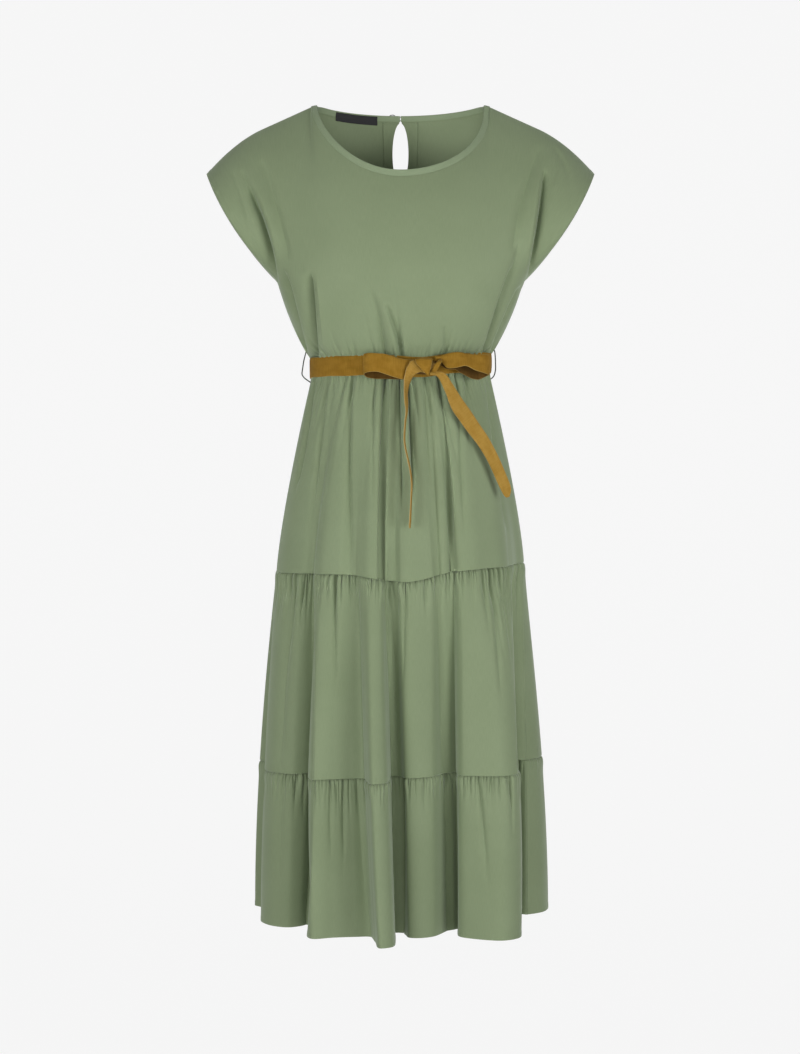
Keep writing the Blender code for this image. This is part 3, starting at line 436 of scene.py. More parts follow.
# Gathers under a seam, in mm: the place along the seam by its x, how far its foot drifts to the right, its
# length, depth and half-width at the seam.
Gather = namedtuple("Gather", "x drift length depth width")
# Stretches of small gathers: from one x to another, their spacing along the seam, depth and length.
Zone = namedtuple("Zone", "left right spacing depth length")
# The ranges a small gather is drawn from: shares of its zone's spacing, depth and length, and a drift and
# half-width in mm.
FIRST_SPACINGS, SPACINGS, DEPTHS, LENGTHS = (0.2, 0.8), (0.55, 1.5), (0.45, 1.4), (0.5, 1.6)
DRIFTS, HALF_WIDTHS = (-3, 3), (0.9, 1.6)
# At a share s of its length a gather is wider by GATHER_WIDENING times s, and its depth has faded to
# exp(-(GATHER_FADE s) ** GATHER_FADE_POWER).
GATHER_WIDENING, GATHER_FADE, GATHER_FADE_POWER = 1.2, 1.25, 1.7


def crease_push(x, z, creases):
    """How far the creases push the cloth inwards at (x, z), in metres.

    Each path is the quadratic through its three points, a crease's depth goes with the root of a half sine
    along it, and its sides are bells of different reach.
    """
    push = np.zeros(np.shape(x))
    along = z / MM
    for crease in creases:
        heights = (crease.top_z, crease.mid_z, crease.low_z)
        places = (crease.top_x, crease.mid_x, crease.low_x)
        path = sum(
            place * np.prod([(along - other) / (height - other) for other in heights if other != height], 0)
            for height, place in zip(heights, places)
        )
        share = np.clip((along - crease.top_z) / (crease.low_z - crease.top_z), 0, 1)
        gap = x / MM - path
        reach = np.where(gap < 0, crease.left, crease.right)
        push += crease.depth * MM * np.sqrt(np.sin(math.pi * share)) * crimp(gap, reach)
    return push


def small_gathers(zones, seed):
    """Uneven small gathers over stretches of a seam."""
    dice = np.random.default_rng(seed)
    made = []
    for zone in zones:
        x = zone.left + zone.spacing * dice.uniform(*FIRST_SPACINGS)
        while x < zone.right:
            deep, long = dice.uniform(*DEPTHS), dice.uniform(*LENGTHS)
            drift, width = dice.uniform(*DRIFTS), dice.uniform(*HALF_WIDTHS)
            made.append(Gather(x, drift, zone.length * long, zone.depth * deep, width))
            x += zone.spacing * dice.uniform(*SPACINGS)
    return made


def gather_push(seam, below, gathers):
    """How far gathers press the cloth inwards, in metres.

    seam (columns, 2) is the plan of their seam, and below (rows, columns) the depth under it. A gather is a
    bell across the seam that widens and fades as it falls.
    """
    arc = run_along(seam[None], 1)[0]
    order = np.argsort(seam[:, 0])
    push = np.zeros(below.shape)
    for gather in gathers:
        centre = np.interp(gather.x * MM, seam[order, 0], arc[order])
        fall = np.maximum(below, 0) / (gather.length * MM)
        heading = np.sign(np.interp(centre, arc, np.gradient(seam[:, 0])))
        gap = arc - centre - heading * gather.drift * MM * fall
        width = gather.width * MM * (1 + GATHER_WIDENING * fall)
        push += gather.depth * MM * crimp(gap, width) * np.exp(-(GATHER_FADE * fall) ** GATHER_FADE_POWER)
    return push


# ---------------------------------------------------------------- skirt

# One row for each crest, valley or edge of the skirt's large folds, going round from the left side over the
# front. Angles are from straight ahead (-Y), positive to the right; reaches are from the skirt's axis, in mm.
Fold = namedtuple("Fold", "name waist_deg seam_deg seam_reach hem_deg hem_reach")
FOLDS = [Fold(*row) for row in (
    ("left back crest", -104, -103, 185, -106, 224),
    ("left side valley", -90, -91, 177, -94, 177),
    ("A edge", -79, -79, 180, -78, 205),
    ("A crest", -70, -68, 176, -67, 201),
    ("A right", -61, -57, 168, -60, 184),
    ("A valley", -53, -51.5, 158, -58.4, 146),
    ("B edge", -47, -46.5, 164, -43.7, 190),
    ("B crest", -43, -40.5, 167, -36.3, 206),
    ("B right", -38, -32, 163, -30.4, 183),
    ("B valley", -33, -26.8, 157, -22.4, 166),
    ("C foot", -29, -23.4, 157, -15.6, 160),
    ("C edge", -25, -20.6, 160, -10.5, 188),
    ("C crest", -20, -14.5, 166, -7, 226),
    ("C right", -15, -10.5, 163, -3, 216),
    ("C flank", -12, -8.6, 154, -2.2, 172),
    ("C valley", -9.2, -7.2, 155, -3.5, 128),
    ("D foot", -5, -3, 148, 2.5, 138),
    ("D edge", -1, 0.6, 157, 4.6, 159),
    ("D crest", 3, 5, 159, 9.5, 163),
    ("D right", 10, 14.6, 156, 16.6, 158),
    ("D valley", 15.6, 19.8, 153, 30, 133),
    ("small ridge", 20, 23, 155, 37, 131),
    ("E valley", 25, 27.4, 155, 41.5, 129),
    ("E flank", 29, 29.0, 154, 36.5, 138),
    ("E edge", 33, 30.7, 165, 28.6, 172),
    ("E left", 39, 36.5, 171, 31.4, 194),
    ("E crest", 48, 45, 173, 38.5, 226),
    ("E right", 57, 52.5, 176, 45.6, 229),
    ("E far edge", 65, 60.5, 175, 53.3, 210),
    ("E back flank", 73, 68.5, 171, 62, 184),
    ("F valley", 80, 80.5, 169, 84, 158),
    ("right side flank", 88, 87.5, 176, 88, 184),
    ("F edge", 96, 95, 180, 94, 210),
    ("F crest", 105, 104, 178, 105, 224),
    ("F right", 114, 113, 170, 113, 205),
    ("G valley", 122, 121, 158, 121, 165),
    ("G edge", 129, 128, 160, 127, 190),
    ("G crest", 137, 136, 164, 134, 216),
    ("G right", 145, 144, 158, 142, 196),
    ("H valley", 152, 151, 146, 149, 146),
    ("H edge", 160, 159, 150, 156, 170),
    ("H crest", 169, 168, 156, 165, 200),
    ("H right", 178, 177, 152, 174, 182),
    ("I valley", 185, 185, 144, 182, 138),
    ("I edge", 192, 192, 150, 188, 172),
    ("I crest", 200, 200, 160, 196, 208),
    ("I right", 209, 209, 160, 206, 196),
    ("J valley", 217, 216, 152, 214, 150),
    ("J edge", 224, 224, 160, 221, 186),
    ("J crest", 233, 232, 170, 230, 214),
    ("J right", 241, 241, 172, 239, 196),
    ("K valley", 249, 249, 174, 247, 172),
)]
LEFT_SEAM_FOLD, RIGHT_SEAM_FOLD = "left side valley", "right side flank"
# The level of each tier's upper edge, and of the hem: 0 at the waist, 1 at the first seam, 2 at the hem.
LEVELS = {1: 0.0, 2: 1.0, 3: 1.563, 4: 2.0}
UNDER_BELT = 0.06
SWING_POWER, DEEPEN_POWER = 1.3, 1.7
# A tier seam, in metres: its height, how much higher it is at the right side, and its dip near the middle.
TierSeam = namedtuple("TierSeam", "height rise dip")
TIER_SEAMS = {2: TierSeam(-0.6655, 0.006, 0.0135), 3: TierSeam(-0.9505, 0.0045, 0.0)}
SEAM_DIP_DEG, SEAM_DIP_REACH_DEG = 3, 20

FRONT_DRAPES = {
    1: [Crease(*row) for row in (
        ("left side fold", -123, -366, -130, -440, -146, -540, 14, 2.4, 1.6),
        ("first long valley", -102, -350, -112, -472, -124, -590, 5.5, 4, 1.8),
        ("second long valley", -69, -340, -71.5, -480, -69, -640, 7, 6, 2.4),
        ("faint valley", -38, -360, -39.5, -455, -39, -560, 3.5, 3, 3),
        ("deep valley", -23, -340, -27.5, -525, -28.5, -760, 20, 1.5, 5.5),
        ("valley left of the tail", -1, -350, -3, -455, 2, -570, 11, 2.4, 4),
        ("valley right of the tail", 10, -350, 14, -450, 19, -560, 13, 2.6, 3.4),
        ("short right valley", 33, -350, 35.5, -440, 40, -540, 4.5, 3, 3),
        ("long right valley", 38, -370, 48, -530, 56, -740, 5, 6, 2.2),
        ("deep right valley", 49, -340, 66, -520, 72, -730, 9, 3.4, 2),
        ("faint right valley", 81, -350, 84, -470, 88, -610, 4, 3, 3),
        ("far right valley", 94, -350, 94, -420, 96, -490, 4.5, 3, 3),
        ("right side fold", 122, -360, 132, -470, 150, -600, 13, 1.4, 5),
        ("far right faint valley", 147, -520, 151, -590, 156, -680, 2.6, 4, 5),
    )],
    2: [Crease(*row) for row in (
        ("A soft valley", -150, -640, -160, -760, -171, -960, 4.0, 5, 6),
        ("A deep valley", -125, -625, -122, -790, -123, -975, 4, 8, 1.4),
        ("B thin valley", -91, -640, -91, -720, -90, -820, 3.6, 2.4, 2),
        ("B deep valley", -59, -635, -56, -800, -50, -975, 2.6, 9, 1.8),
        ("C deep valley", -15, -635, -9, -800, -4, -975, 3, 2, 4.5),
        ("D thin valley", 5, -640, 4, -740, 3, -830, 2, 2.4, 3),
        ("D valley", 53, -635, 55, -790, 60, -975, 2, 4, 3),
        ("E deep valley", 82, -635, 83, -790, 83, -975, 1, 6, 1.6),
        ("E soft valley", 124, -640, 132, -720, 139, -830, 4, 4, 4),
        ("E far valley", 160, -640, 163, -800, 167, -975, 10, 1.4, 8),
    )],
    3: [Crease(*row) for row in (
        ("A soft valley", -168, -930, -170, -1010, -171, -1110, 2.6, 6, 6),
        ("A deep valley", -122, -900, -125, -1030, -134, -1190, 10, 5.5, 1.4),
        ("B thin valley", -97, -920, -97, -990, -96, -1060, 2.4, 2.4, 2),
        ("B second valley", -79, -920, -79, -990, -78, -1060, 2.4, 2.4, 2),
        ("B deep valley", -58, -910, -55, -1030, -37, -1200, 3.4, 8, 2),
        ("C deep valley", 1, -900, 2, -1010, 2, -1200, 11, 5, 2.2),
        ("D valley", 62, -910, 64, -1020, 66, -1200, 2.2, 4, 4),
        ("E deep valley", 79, -900, 79, -1010, 79, -1200, 1.5, 6, 1.8),
        ("E hanging valley", 104, -920, 112, -1000, 118, -1080, 2.4, 3, 4),
        ("E far valley", 169, -900, 173, -1010, 176, -1200, 14, 1.5, 12),
    )],
}
BACK_DRAPES = {
    1: [Crease(*row) for row in (
        ("left valley", -112, -350, -124, -480, -134, -620, 4, 5, 5),
        ("left long valley", -78, -340, -86, -520, -92, -740, 4.5, 5, 4),
        ("left middle valley", -44, -350, -50, -470, -52, -600, 3.0, 4, 4),
        ("middle valley", -14, -340, -18, -500, -16, -740, 5.0, 5, 5),
        ("right middle valley", 22, -350, 27, -460, 30, -590, 3.2, 4, 4),
        ("right long valley", 52, -340, 60, -520, 66, -740, 5.0, 5, 5),
        ("right faint valley", 84, -360, 92, -480, 99, -620, 2.6, 4, 4),
        ("right valley", 112, -350, 124, -480, 136, -630, 3.6, 4, 5),
    )],
    2: [Crease(*row) for row in (
        ("left soft valley", -140, -640, -147, -780, -152, -960, 3.2, 6, 6),
        ("left middle valley", -70, -640, -73, -770, -76, -940, 3.0, 5, 5),
        ("middle valley", 8, -650, 10, -780, 14, -960, 2.6, 6, 5),
        ("right middle valley", 86, -640, 92, -760, 95, -930, 3.0, 5, 6),
    )],
    3: [Crease(*row) for row in (
        ("left valley", -120, -930, -124, -1020, -127, -1130, 2.6, 5, 6),
        ("middle valley", -12, -930, -14, -1010, -15, -1110, 2.4, 5, 5),
        ("right valley", 98, -930, 103, -1030, 106, -1140, 3.0, 6, 6),
    )],
}
FRONT_GATHERS = {
    1: [Gather(*row) for row in (
        (-120, -2, 70, 3.3, 1.4), (-110, -3, 80, 2.7, 1.3), (-102, -8, 90, 4.6, 1.4), (-91, -2, 55, 2.9, 1.2),
        (-79, -3, 90, 3.8, 1.3), (-68, -2, 110, 5, 1.5), (-58, 0, 50, 2.3, 1.2), (-43, 0, 45, 2.1, 1.2),
        (-36, -2, 120, 3.8, 1.3), (-26, -4, 60, 3.1, 1.3), (-20, -6, 110, 5.9, 1.9), (-10, -2, 50, 2.7, 1.3),
        (-1, -4, 120, 6.2, 1.4), (9, 1, 60, 4.6, 1.3), (16, 4, 90, 7.2, 1.5), (26, 3, 40, 2.6, 1.1),
        (34, 6, 120, 4.6, 1.5), (41, 3, 45, 2.5, 1.2), (53, 8, 130, 7, 1.7), (62, 5, 60, 4.8, 1.3),
        (68, 3, 60, 2.9, 1.3), (78, 3, 90, 4, 1.4), (93, 2, 60, 3.8, 1.3), (102, 2, 40, 2.3, 1.2),
        (112, 4, 50, 2.7, 1.2), (121, 6, 80, 4.2, 1.5),
    )],
    2: [Gather(*row) for row in (
        (-165, -2, 50, 4.6, 1.4), (-157, -3, 60, 5.6, 1.4), (-147, -9, 110, 7.7, 1.7),
        (-137, -2, 60, 4.1, 1.4), (-128, 0, 45, 4.6, 1.4), (-91, 1, 75, 6.7, 1.5), (-67, 1, 40, 2.7, 1.4),
        (-30, 0, 30, 2.3, 1.3), (-20, -3, 45, 3, 1.4), (-12, -11, 90, 5.3, 1.9), (6, -4, 110, 3.3, 1.6),
        (34, 1, 40, 2.5, 1.3), (52, 1, 35, 2.3, 1.3), (96, 1, 35, 3.8, 1.3), (113, 2, 50, 4.4, 1.4),
        (124, 9, 95, 7.7, 1.6), (131, 6, 65, 5.1, 1.4), (138, 7, 90, 7.2, 1.5), (144, 3, 60, 5.1, 1.4),
        (150, 4, 75, 5.6, 1.4), (157, 2, 60, 4.6, 1.4),
    )],
    3: [Gather(*row) for row in (
        (-97, -1, 80, 3.1, 1.5), (-88, 0, 50, 3, 1.4), (-80, 0, 105, 3.5, 1.6), (-72, 1, 55, 3.4, 1.4),
        (-67, 1, 40, 2.7, 1.3), (-59, 1, 45, 2.9, 1.3), (-53, 2, 40, 2.5, 1.3), (107, 13, 130, 3.4, 1.7),
        (96, 2, 35, 2.3, 1.3), (122, 3, 40, 2.3, 1.3),
    )],
}
FRONT_ZONES = {
    1: [Zone(-124, 124, 5.2, 4, 28)],
    2: [Zone(-176, -118, 4.4, 7, 44), Zone(-118, -32, 4.6, 5, 26), Zone(-32, 20, 4.6, 5, 28),
        Zone(20, 112, 5.0, 5, 22), Zone(112, 176, 4.2, 8, 48)],
    3: [Zone(-196, -104, 5.0, 5.5, 28), Zone(-104, -45, 4.8, 6, 36), Zone(-45, 150, 4.8, 5, 24),
        Zone(150, 200, 4.6, 8, 46)],
}
BACK_ZONES = {
    1: [Zone(-124, 124, 6.0, 2.4, 44)],
    2: [Zone(-176, 176, 5.6, 2.4, 36)],
    3: [Zone(-200, 200, 6.0, 2.3, 34)],
}
TIER_COLUMNS = {FRONT: 960, BACK: 440}
TIER_ROWS = {FRONT: 24, BACK: 18}
FINE_TURNS = 4000
ROW_POWER = 1.4
# Distances of the rows nearest a tier's edges.
EDGE_STEPS = np.array([0, 0.4, 0.9, 1.6, 2.6, 4.2, 6.6, 10.0]) * MM
# A tier's upper edge is tucked in behind the tier above it by TUCK, TUCK_LAP up, and comes forward over
# TUCK_REACH; its foot rolls in by ROLL over ROLL_REACH. The cloth puffs out by PUFF under a gathered seam.
TUCK, TUCK_LAP, TUCK_REACH = 0.0036, 0.0012, 0.0026
ROLL, ROLL_REACH = 0.0005, 0.0007
PUFF, PUFF_AT, PUFF_REACH = 0.0012, 0.010, 0.009
# The hem is turned up, and so thicker: its depth, the step where it ends, and its thickness.
HEM_TURN, HEM_STEP, HEM_CLOTH = 0.007, 0.0006, 0.0017
# A half ends short of the side seam by SIDE_GAP, and its creases and gathers fade out over SIDE_FADE.
SIDE_GAP, SIDE_FADE = 0.6 * SEAM, 0.006


def plan_points(degrees, reach):
    angle = np.radians(degrees)
    return np.stack([reach * np.sin(angle), -reach * np.cos(angle)], axis=-1)


def fold_column(field):
    return np.array([getattr(fold, field) for fold in FOLDS], float)


def waist_reach(degrees):
    """How far the waist oval lies from its middle; straight ahead is 0 degrees."""
    angle = np.radians(degrees)
    depth = np.where(np.cos(angle) > 0, WAIST_FRONT, WAIST_BACK)
    return 1 / np.hypot(np.sin(angle) / WAIST_HALF_WIDTH, np.cos(angle) / depth)


def ring_knots():
    """Where each fold row lies on the ring: steps that grow with the root of the hem's chords."""
    hem = plan_points(fold_column("hem_deg"), fold_column("hem_reach") * MM)
    chords = np.linalg.norm(np.diff(np.vstack([hem, hem[:1]]), axis=0), axis=1)
    return np.concatenate([[0], np.cumsum(np.sqrt(chords))])


KNOTS = ring_knots()
TURN = KNOTS[-1]


def plan_rings(level):
    """The fold rows' plan points at each level (n,), as in LEVELS.

    Above the first seam the cloth stays under the belt and then swings out, fast at first. Below it the folds
    deepen fast at first and drift sideways evenly.
    """
    level = np.asarray(level, float)[:, None]
    fall = np.clip(level - 1, 0, 1)
    level = np.clip(level, 0, 1)
    swing = 1 - (1 - np.maximum(level - UNDER_BELT, 0) / (1 - UNDER_BELT)) ** SWING_POWER
    deepen = 1 - (1 - fall) ** DEEPEN_POWER
    seam_deg, seam_reach = fold_column("seam_deg"), fold_column("seam_reach") * MM
    upper_deg = fold_column("waist_deg") * (1 - level) + seam_deg * level
    upper_reach = waist_reach(upper_deg) * (1 - swing) + seam_reach * swing
    lower_deg = seam_deg * (1 - fall) + fold_column("hem_deg") * fall
    lower_reach = seam_reach * (1 - deepen) + fold_column("hem_reach") * MM * deepen
    lower, upper = plan_points(lower_deg, lower_reach), plan_points(upper_deg, upper_reach)
    return np.where((fall > 0)[..., None], lower, upper)


def ring_places(level, turn):
    return through_ring(plan_rings(np.atleast_1d(level)), KNOTS, np.asarray(turn, float))


def seam_height(number, turn):
    """Height of the edge above tier number, round the ring; 4 gives the hem."""
    if number == 1:
        return WAIST_Z + WAIST_TILT * ring_places(0.0, turn)[0, :, 0]
    if number not in TIER_SEAMS:
        return np.full(np.shape(turn), HEM_Z)
    place = ring_places(1.0, turn)[0]
    degrees = np.degrees(np.arctan2(place[:, 0], -place[:, 1]))
    seam = TIER_SEAMS[number]
    dip = seam.dip * bump(degrees - SEAM_DIP_DEG, SEAM_DIP_REACH_DEG)
    return seam.height + seam.rise * np.sin(np.radians(degrees)) - dip


def seam_turn(fold_name):
    return KNOTS[[fold.name for fold in FOLDS].index(fold_name)]


def half_turns(side, count):
    """The columns of one half, evenly spread over the cloth between its two side seams."""
    left, right = seam_turn(LEFT_SEAM_FOLD), seam_turn(RIGHT_SEAM_FOLD)
    first, last = (left, right) if side == FRONT else (right, left + TURN)
    fine = np.linspace(first, last, FINE_TURNS)
    run = run_along(ring_places([LEVELS[2], LEVELS[4]], fine), 1).mean(0)
    return np.interp(np.linspace(SIDE_GAP, run[-1] - SIDE_GAP, count), run, fine)


def tier_shares(height, count):
    """Rows as shares of a tier's height, close together at both edges and closer above than below."""
    edge = EDGE_STEPS / height
    between = edge[-1] + (1 - 2 * edge[-1]) * np.linspace(0, 1, count + 2)[1:-1] ** ROW_POWER
    return np.concatenate([edge, between, 1 - edge[::-1]])


def tier_surface(number, side, turn, share):
    """Middle points (rows, columns, 3) of a tier, and how far each is above its foot.

    They are the ring of folds at each height, pressed by creases and gathers. Both edges roll inwards at
    their seams, and the cloth puffs out a little under a gathered seam.
    """
    top = seam_height(number, turn) + (TUCK_LAP if number > 1 else -SEAM / 2)
    foot = seam_height(number + 1, turn) + (SEAM / 2 if number < 3 else 0)
    levels = LEVELS[number] + (LEVELS[number + 1] - LEVELS[number]) * share
    plan = ring_places(levels, turn)
    z = top + (foot - top) * share[:, None]
    along = np.gradient(plan, axis=1)
    outward = unit(np.stack([along[..., 1], -along[..., 0], 0 * z], axis=-1))
    below, above = (top - foot) * share[:, None], (top - foot) * (1 - share[:, None])
    drapes, zones = (FRONT_DRAPES, FRONT_ZONES) if side == FRONT else (BACK_DRAPES, BACK_ZONES)
    gathers = small_gathers(zones[number], 10 * number + side)
    gathers += FRONT_GATHERS[number] if side == FRONT else []
    push = crease_push(plan[..., 0], z, drapes[number])
    push += gather_push(plan[0], below, gathers) - PUFF * bump(below - PUFF_AT, PUFF_REACH) * (number > 1)
    rolled = TUCK * bump(below, TUCK_REACH) * (number > 1) + ROLL * bump(above, ROLL_REACH) * (number < 3)
    from_sides = np.minimum(run_along(plan, 1), run_along(plan[:, ::-1], 1)[:, ::-1])
    side_fade = np.clip(from_sides / SIDE_FADE, 0, 1)
    push = push * side_fade + rolled
    return np.concatenate([plan, z[..., None]], axis=-1) - outward * push[..., None], above


def build_skirt():
    for number in (1, 2, 3):
        for side, label in ((FRONT, "front"), (BACK, "back")):
            turn = half_turns(side, TIER_COLUMNS[side])
            height = seam_height(number, turn[:1])[0] - seam_height(number + 1, turn[:1])[0]
            middle, above = tier_surface(number, side, turn, tier_shares(height, TIER_ROWS[side]))
            turned = np.clip((HEM_TURN - above) / HEM_STEP, 0, 1) * (number == 3)
            name = f"skirt_tier_{number}_{label}"
            cloth = shell(name + "_cloth", middle, grid_normals(middle), CLOTH + (HEM_CLOTH - CLOTH) * turned,
                          SAGE_GATHERED, (name,))


# ---------------------------------------------------------------- bodice

Section = namedtuple("Section", "name height half_width front back roundness")
SECTIONS = [Section(*row) for row in (
    ("underarm", -0.253, 0.1780, 0.121, 0.104, 0.72),
    ("under bust", -0.300, 0.1617, 0.119, 0.100, 0.76),
    ("ribs", -0.333, 0.1470, 0.108, 0.092, 0.83),
    ("over the belt", -0.3520, 0.1368, 0.100, 0.088, 0.90),
    ("belt top", -0.3660, 0.1285, WAIST_FRONT, WAIST_BACK, 1.0),
    ("waist", WAIST_Z, WAIST_HALF_WIDTH, WAIST_FRONT, WAIST_BACK, 1.0),
)]
NECK_SHARE = 0.51
NECK_HALF_WIDTH = 0.128
BINDING_WIDTH, BINDING_CUT, BINDING_LAP = 0.0078, 0.0100, 0.0010
SHOULDER_LEAN, SHOULDER_LEAN_POWER = math.radians(12.5), 12
# The binding's section is an oval of BINDING_SIDES points, squarer the lower its two powers, and it puckers
# at each stitch near its lower edge.
BINDING_SIDES, BINDING_POWERS = 20, (0.6, 0.7)
STITCH_PITCH, PUCKER, PUCKER_REACH = 0.0033, 0.22, 0.003
# A stitch fills STITCH_SHARE of its pitch. It lies STITCH_UP above the seam, and off the binding's middle by
# STITCH_OFF of the binding's thickness.
STITCH_SHARE, STITCH_UP, STITCH_OFF, STITCH_RADIUS = 0.62, 0.0011, 0.46, 0.00032
EDGE_ROLL, EDGE_ROLL_REACH = 0.0007, 0.0014
BACK_BINDING_END = 0.0006
FRONT_NECK_DEPTH, FRONT_NECK_DROP = 0.089, 0.109
BACK_NECK_DEPTH, BACK_NECK_DROP = 0.066, 0.0115
SHOULDER_TIP_X = 0.279
SHOULDER_START_X, SHOULDER_SLOPE = 0.122, 0.453
TIP_CURVE_START_X, TIP_CURVE = 0.198, 4.33
NECK_FALL_POWER = {FRONT: (1.30, 0.90), BACK: (1.25, 1.25)}
EDGE_SWING_EVEN, EDGE_SWING_POWER = 0.68, 2.6
EDGE_SHARE_POWER = 6
RISE_EASE = 0.25
SLEEVE_BULGE, SLEEVE_FULLNESS, SLEEVE_SHARE_POWER = 0.062, 0.68, 4
OFF_EDGE_POWER = 14
CORNER_REACH, CORNER_EASED, CORNER_TAPS, CORNER_EDGE_POWER = 0.30, 0.7, 9, 3
CREASE_TOP_FADE, CREASE_WAIST_FADE = 0.08, 0.09
# At the sides the creases press inwards along x too: by this share, and with this power of v.
CREASE_SIDE_LEAN, CREASE_LEAN_POWER = 0.8, 6
# A panel can be worked out a little past its top and its waist; STEP and PROBE are small steps over it.
ABOVE_TOP, BELOW_WAIST = -0.2, 1.1
STEP, PROBE = 1e-4, 0.02
KEYHOLE_Z, KEYHOLE_HALF_HEIGHT, KEYHOLE_HALF_WIDTH, KEYHOLE_SLIT = -0.0605, 0.044, 0.0118, 0.0018
FACING_HALF_SHARE, FACING_LOW, FACING_CLOTH = 0.066, 0.49, 0.0008
LABEL_LEFT, LABEL_RIGHT, LABEL_CLOTH = -0.272, -0.088, 0.0006
LABEL_BELOW_SEAM, LABEL_ABOVE_SEAM = 0.0068, 0.006
BUTTON_SHARE, BUTTON_RADIUS, BUTTON_HEIGHT, BUTTON_SIDES = -0.030, 0.0045, 0.0024, 40
# The button's rings, from its seat outwards: shares of its radius and of its height.
BUTTON_RINGS = [(0.55, 0.0), (0.92, 0.08), (1.0, 0.42), (0.95, 0.78), (0.80, 1.0), (0.62, 0.93), (0.3, 0.80)]
LOOP_SHARE, LOOP_THREAD, LOOP_ENDS_APART = 0.0105, 0.0012, 0.0044
LOOP_FROM_DEG, LOOP_TO_DEG, LOOP_STEPS = 40, 320, 40
THREAD_SIDES = 10
ARMHOLE_TURN, ARMHOLE_STEP, ARMHOLE_CLOTH = 0.009, 0.0008, 0.0017

FRONT_CREASES = [Crease(*row) for row in (
    ("left armhole valley", -211, -128, -193, -175, -178, -268, 19, 8, 2.0),
    ("left armhole soft valley", -225, -100, -214, -125, -200, -165, 5, 6, 3),
    ("left armhole ridge", -217, -100, -189, -165, -171, -268, -4, 3, 14),
    ("left cap ripple", -240, -100, -222, -150, -208, -215, 4, 5, 5),
    ("left shoulder valley", -198, -84, -173, -160, -157, -225, 6, 9, 5),
    ("right armhole valley", 204, -100, 196, -165, 181, -268, 18, 1.8, 5),
    ("right armhole ridge", 197, -100, 189, -165, 174, -268, -4, 14, 3),
    ("right shoulder valley", 199, -64, 180, -115, 158, -215, 6, 6, 7),
    ("right cap crease", 217, -62, 232, -86, 238, -118, 3.2, 3, 3),
    ("right cap second", 226, -72, 221, -98, 216, -122, 2.8, 3, 3),
    ("right bust valley", 166, -205, 157, -252, 144, -300, 6, 4, 6),
    ("left side valley", -164, -246, -147, -318, -130, -400, 26, 6, 2.4),
    ("left waist valley", -126, -252, -122, -318, -120, -400, 28, 6, 1.6),
    ("left waist ridge", -118, -250, -112, -300, -109, -355, -3, 3, 9),
    ("centre soft valley", -44, -268, -31, -315, -20, -400, 6, 8, 5),
    ("centre ridge", -30, -280, -15, -320, -3, -400, -2.5, 6, 4),
    ("centre sharp valley", -21, -292, -8, -322, 7, -400, 8, 4, 2),
    ("right short valley", 62, -325, 65, -350, 68, -400, 5, 4, 2.2),
    ("right side valley", 158, -240, 133, -318, 112, -400, 21, 2.2, 4),
    ("right edge valley", 172, -262, 146, -322, 123, -400, 18, 2, 4),
)]
BACK_CREASES = [Crease(*row) for row in (
    ("left armhole valley", -222, -96, -198, -165, -184, -262, 11, 18, 6),
    ("left armhole ridge", -207, -96, -183, -165, -169, -262, -5, 8, 20),
    ("right armhole valley", 219, -98, 197, -165, 186, -262, 11, 6, 18),
    ("right armhole ridge", 204, -98, 182, -165, 171, -262, -5, 20, 8),
    ("left waist valley", -116, -250, -109, -315, -98, -400, 7, 10, 5),
    ("left middle valley", -57, -272, -51, -320, -46, -400, 5, 8, 5),
    ("right middle valley", 38, -268, 33, -318, 28, -400, 5, 5, 8),
    ("right waist valley", 112, -245, 101, -312, 91, -400, 7, 5, 10),
)]
WAIST_GATHERS = {
    FRONT: [Gather(*row) for row in (
        (-118, 2, 26, 2.72, 1.52), (-104, -2, 18, 2.04, 1.33), (-84, -1, 30, 2.21, 1.33),
        (-62, 0, 22, 2.04, 1.33), (-36, -4, 45, 2.72, 1.52), (-22, -4, 60, 3.4, 1.71),
        (1, -8, 90, 4.08, 1.71), (14, -2, 25, 2.04, 1.33), (40, 0, 18, 1.7, 1.33), (64, -1, 32, 3.06, 1.42),
        (88, 1, 20, 1.87, 1.33), (112, 3, 34, 2.72, 1.52),
    )],
    BACK: [Gather(*row) for row in (
        (-110, -2, 40, 2.72, 1.52), (-74, -1, 30, 2.38, 1.42), (-46, -1, 60, 3.4, 1.71),
        (-12, 0, 30, 2.04, 1.33), (28, 1, 60, 3.4, 1.71), (60, 1, 30, 2.21, 1.42), (92, 2, 50, 3.23, 1.61),
    )],
}
WAIST_ZONES = {FRONT: [Zone(-124, 124, 5.5, 1.5, 13)], BACK: [Zone(-124, 124, 5.5, 1.7, 18)]}
WAIST_SEED = 50
# The panels' rows of v: a few close together at the top and then even ones. Their columns are even in part
# and in part crowded at the sides. The back has BACK_ROWS below its keyhole, and HALF_COLUMNS each side of it.
PANEL_COLUMNS, PANEL_ROWS, BACK_ROWS, HALF_COLUMNS = 400, 84, 60, 110
TOP_ROWS, FIRST_EVEN_ROW, SIDE_CROWDING = [0, 0.003, 0.007, 0.012, 0.02], 0.03, 0.15
KEYHOLE_ROWS, KEYHOLE_ROW_GAP = 31, 0.004
FACING_TOP, FACING_ROWS, FACING_COLUMNS = 0.006, 12, 14
BINDING_COLUMNS = 220
LABEL_COLUMNS, LABEL_ROWS, LABEL_PROBE = 60, 16, 0.1


def shoulder_height(x):
    """Height of the shoulder seam at a distance from the middle: even, then curving down to the tip."""
    return -SHOULDER_SLOPE * (x - SHOULDER_START_X) - TIP_CURVE * np.maximum(x - TIP_CURVE_START_X, 0) ** 2


def neck_power(side, u):
    """How full the neck's curve is, left and right of its lowest point."""
    return np.where(u < 0, *NECK_FALL_POWER[side])


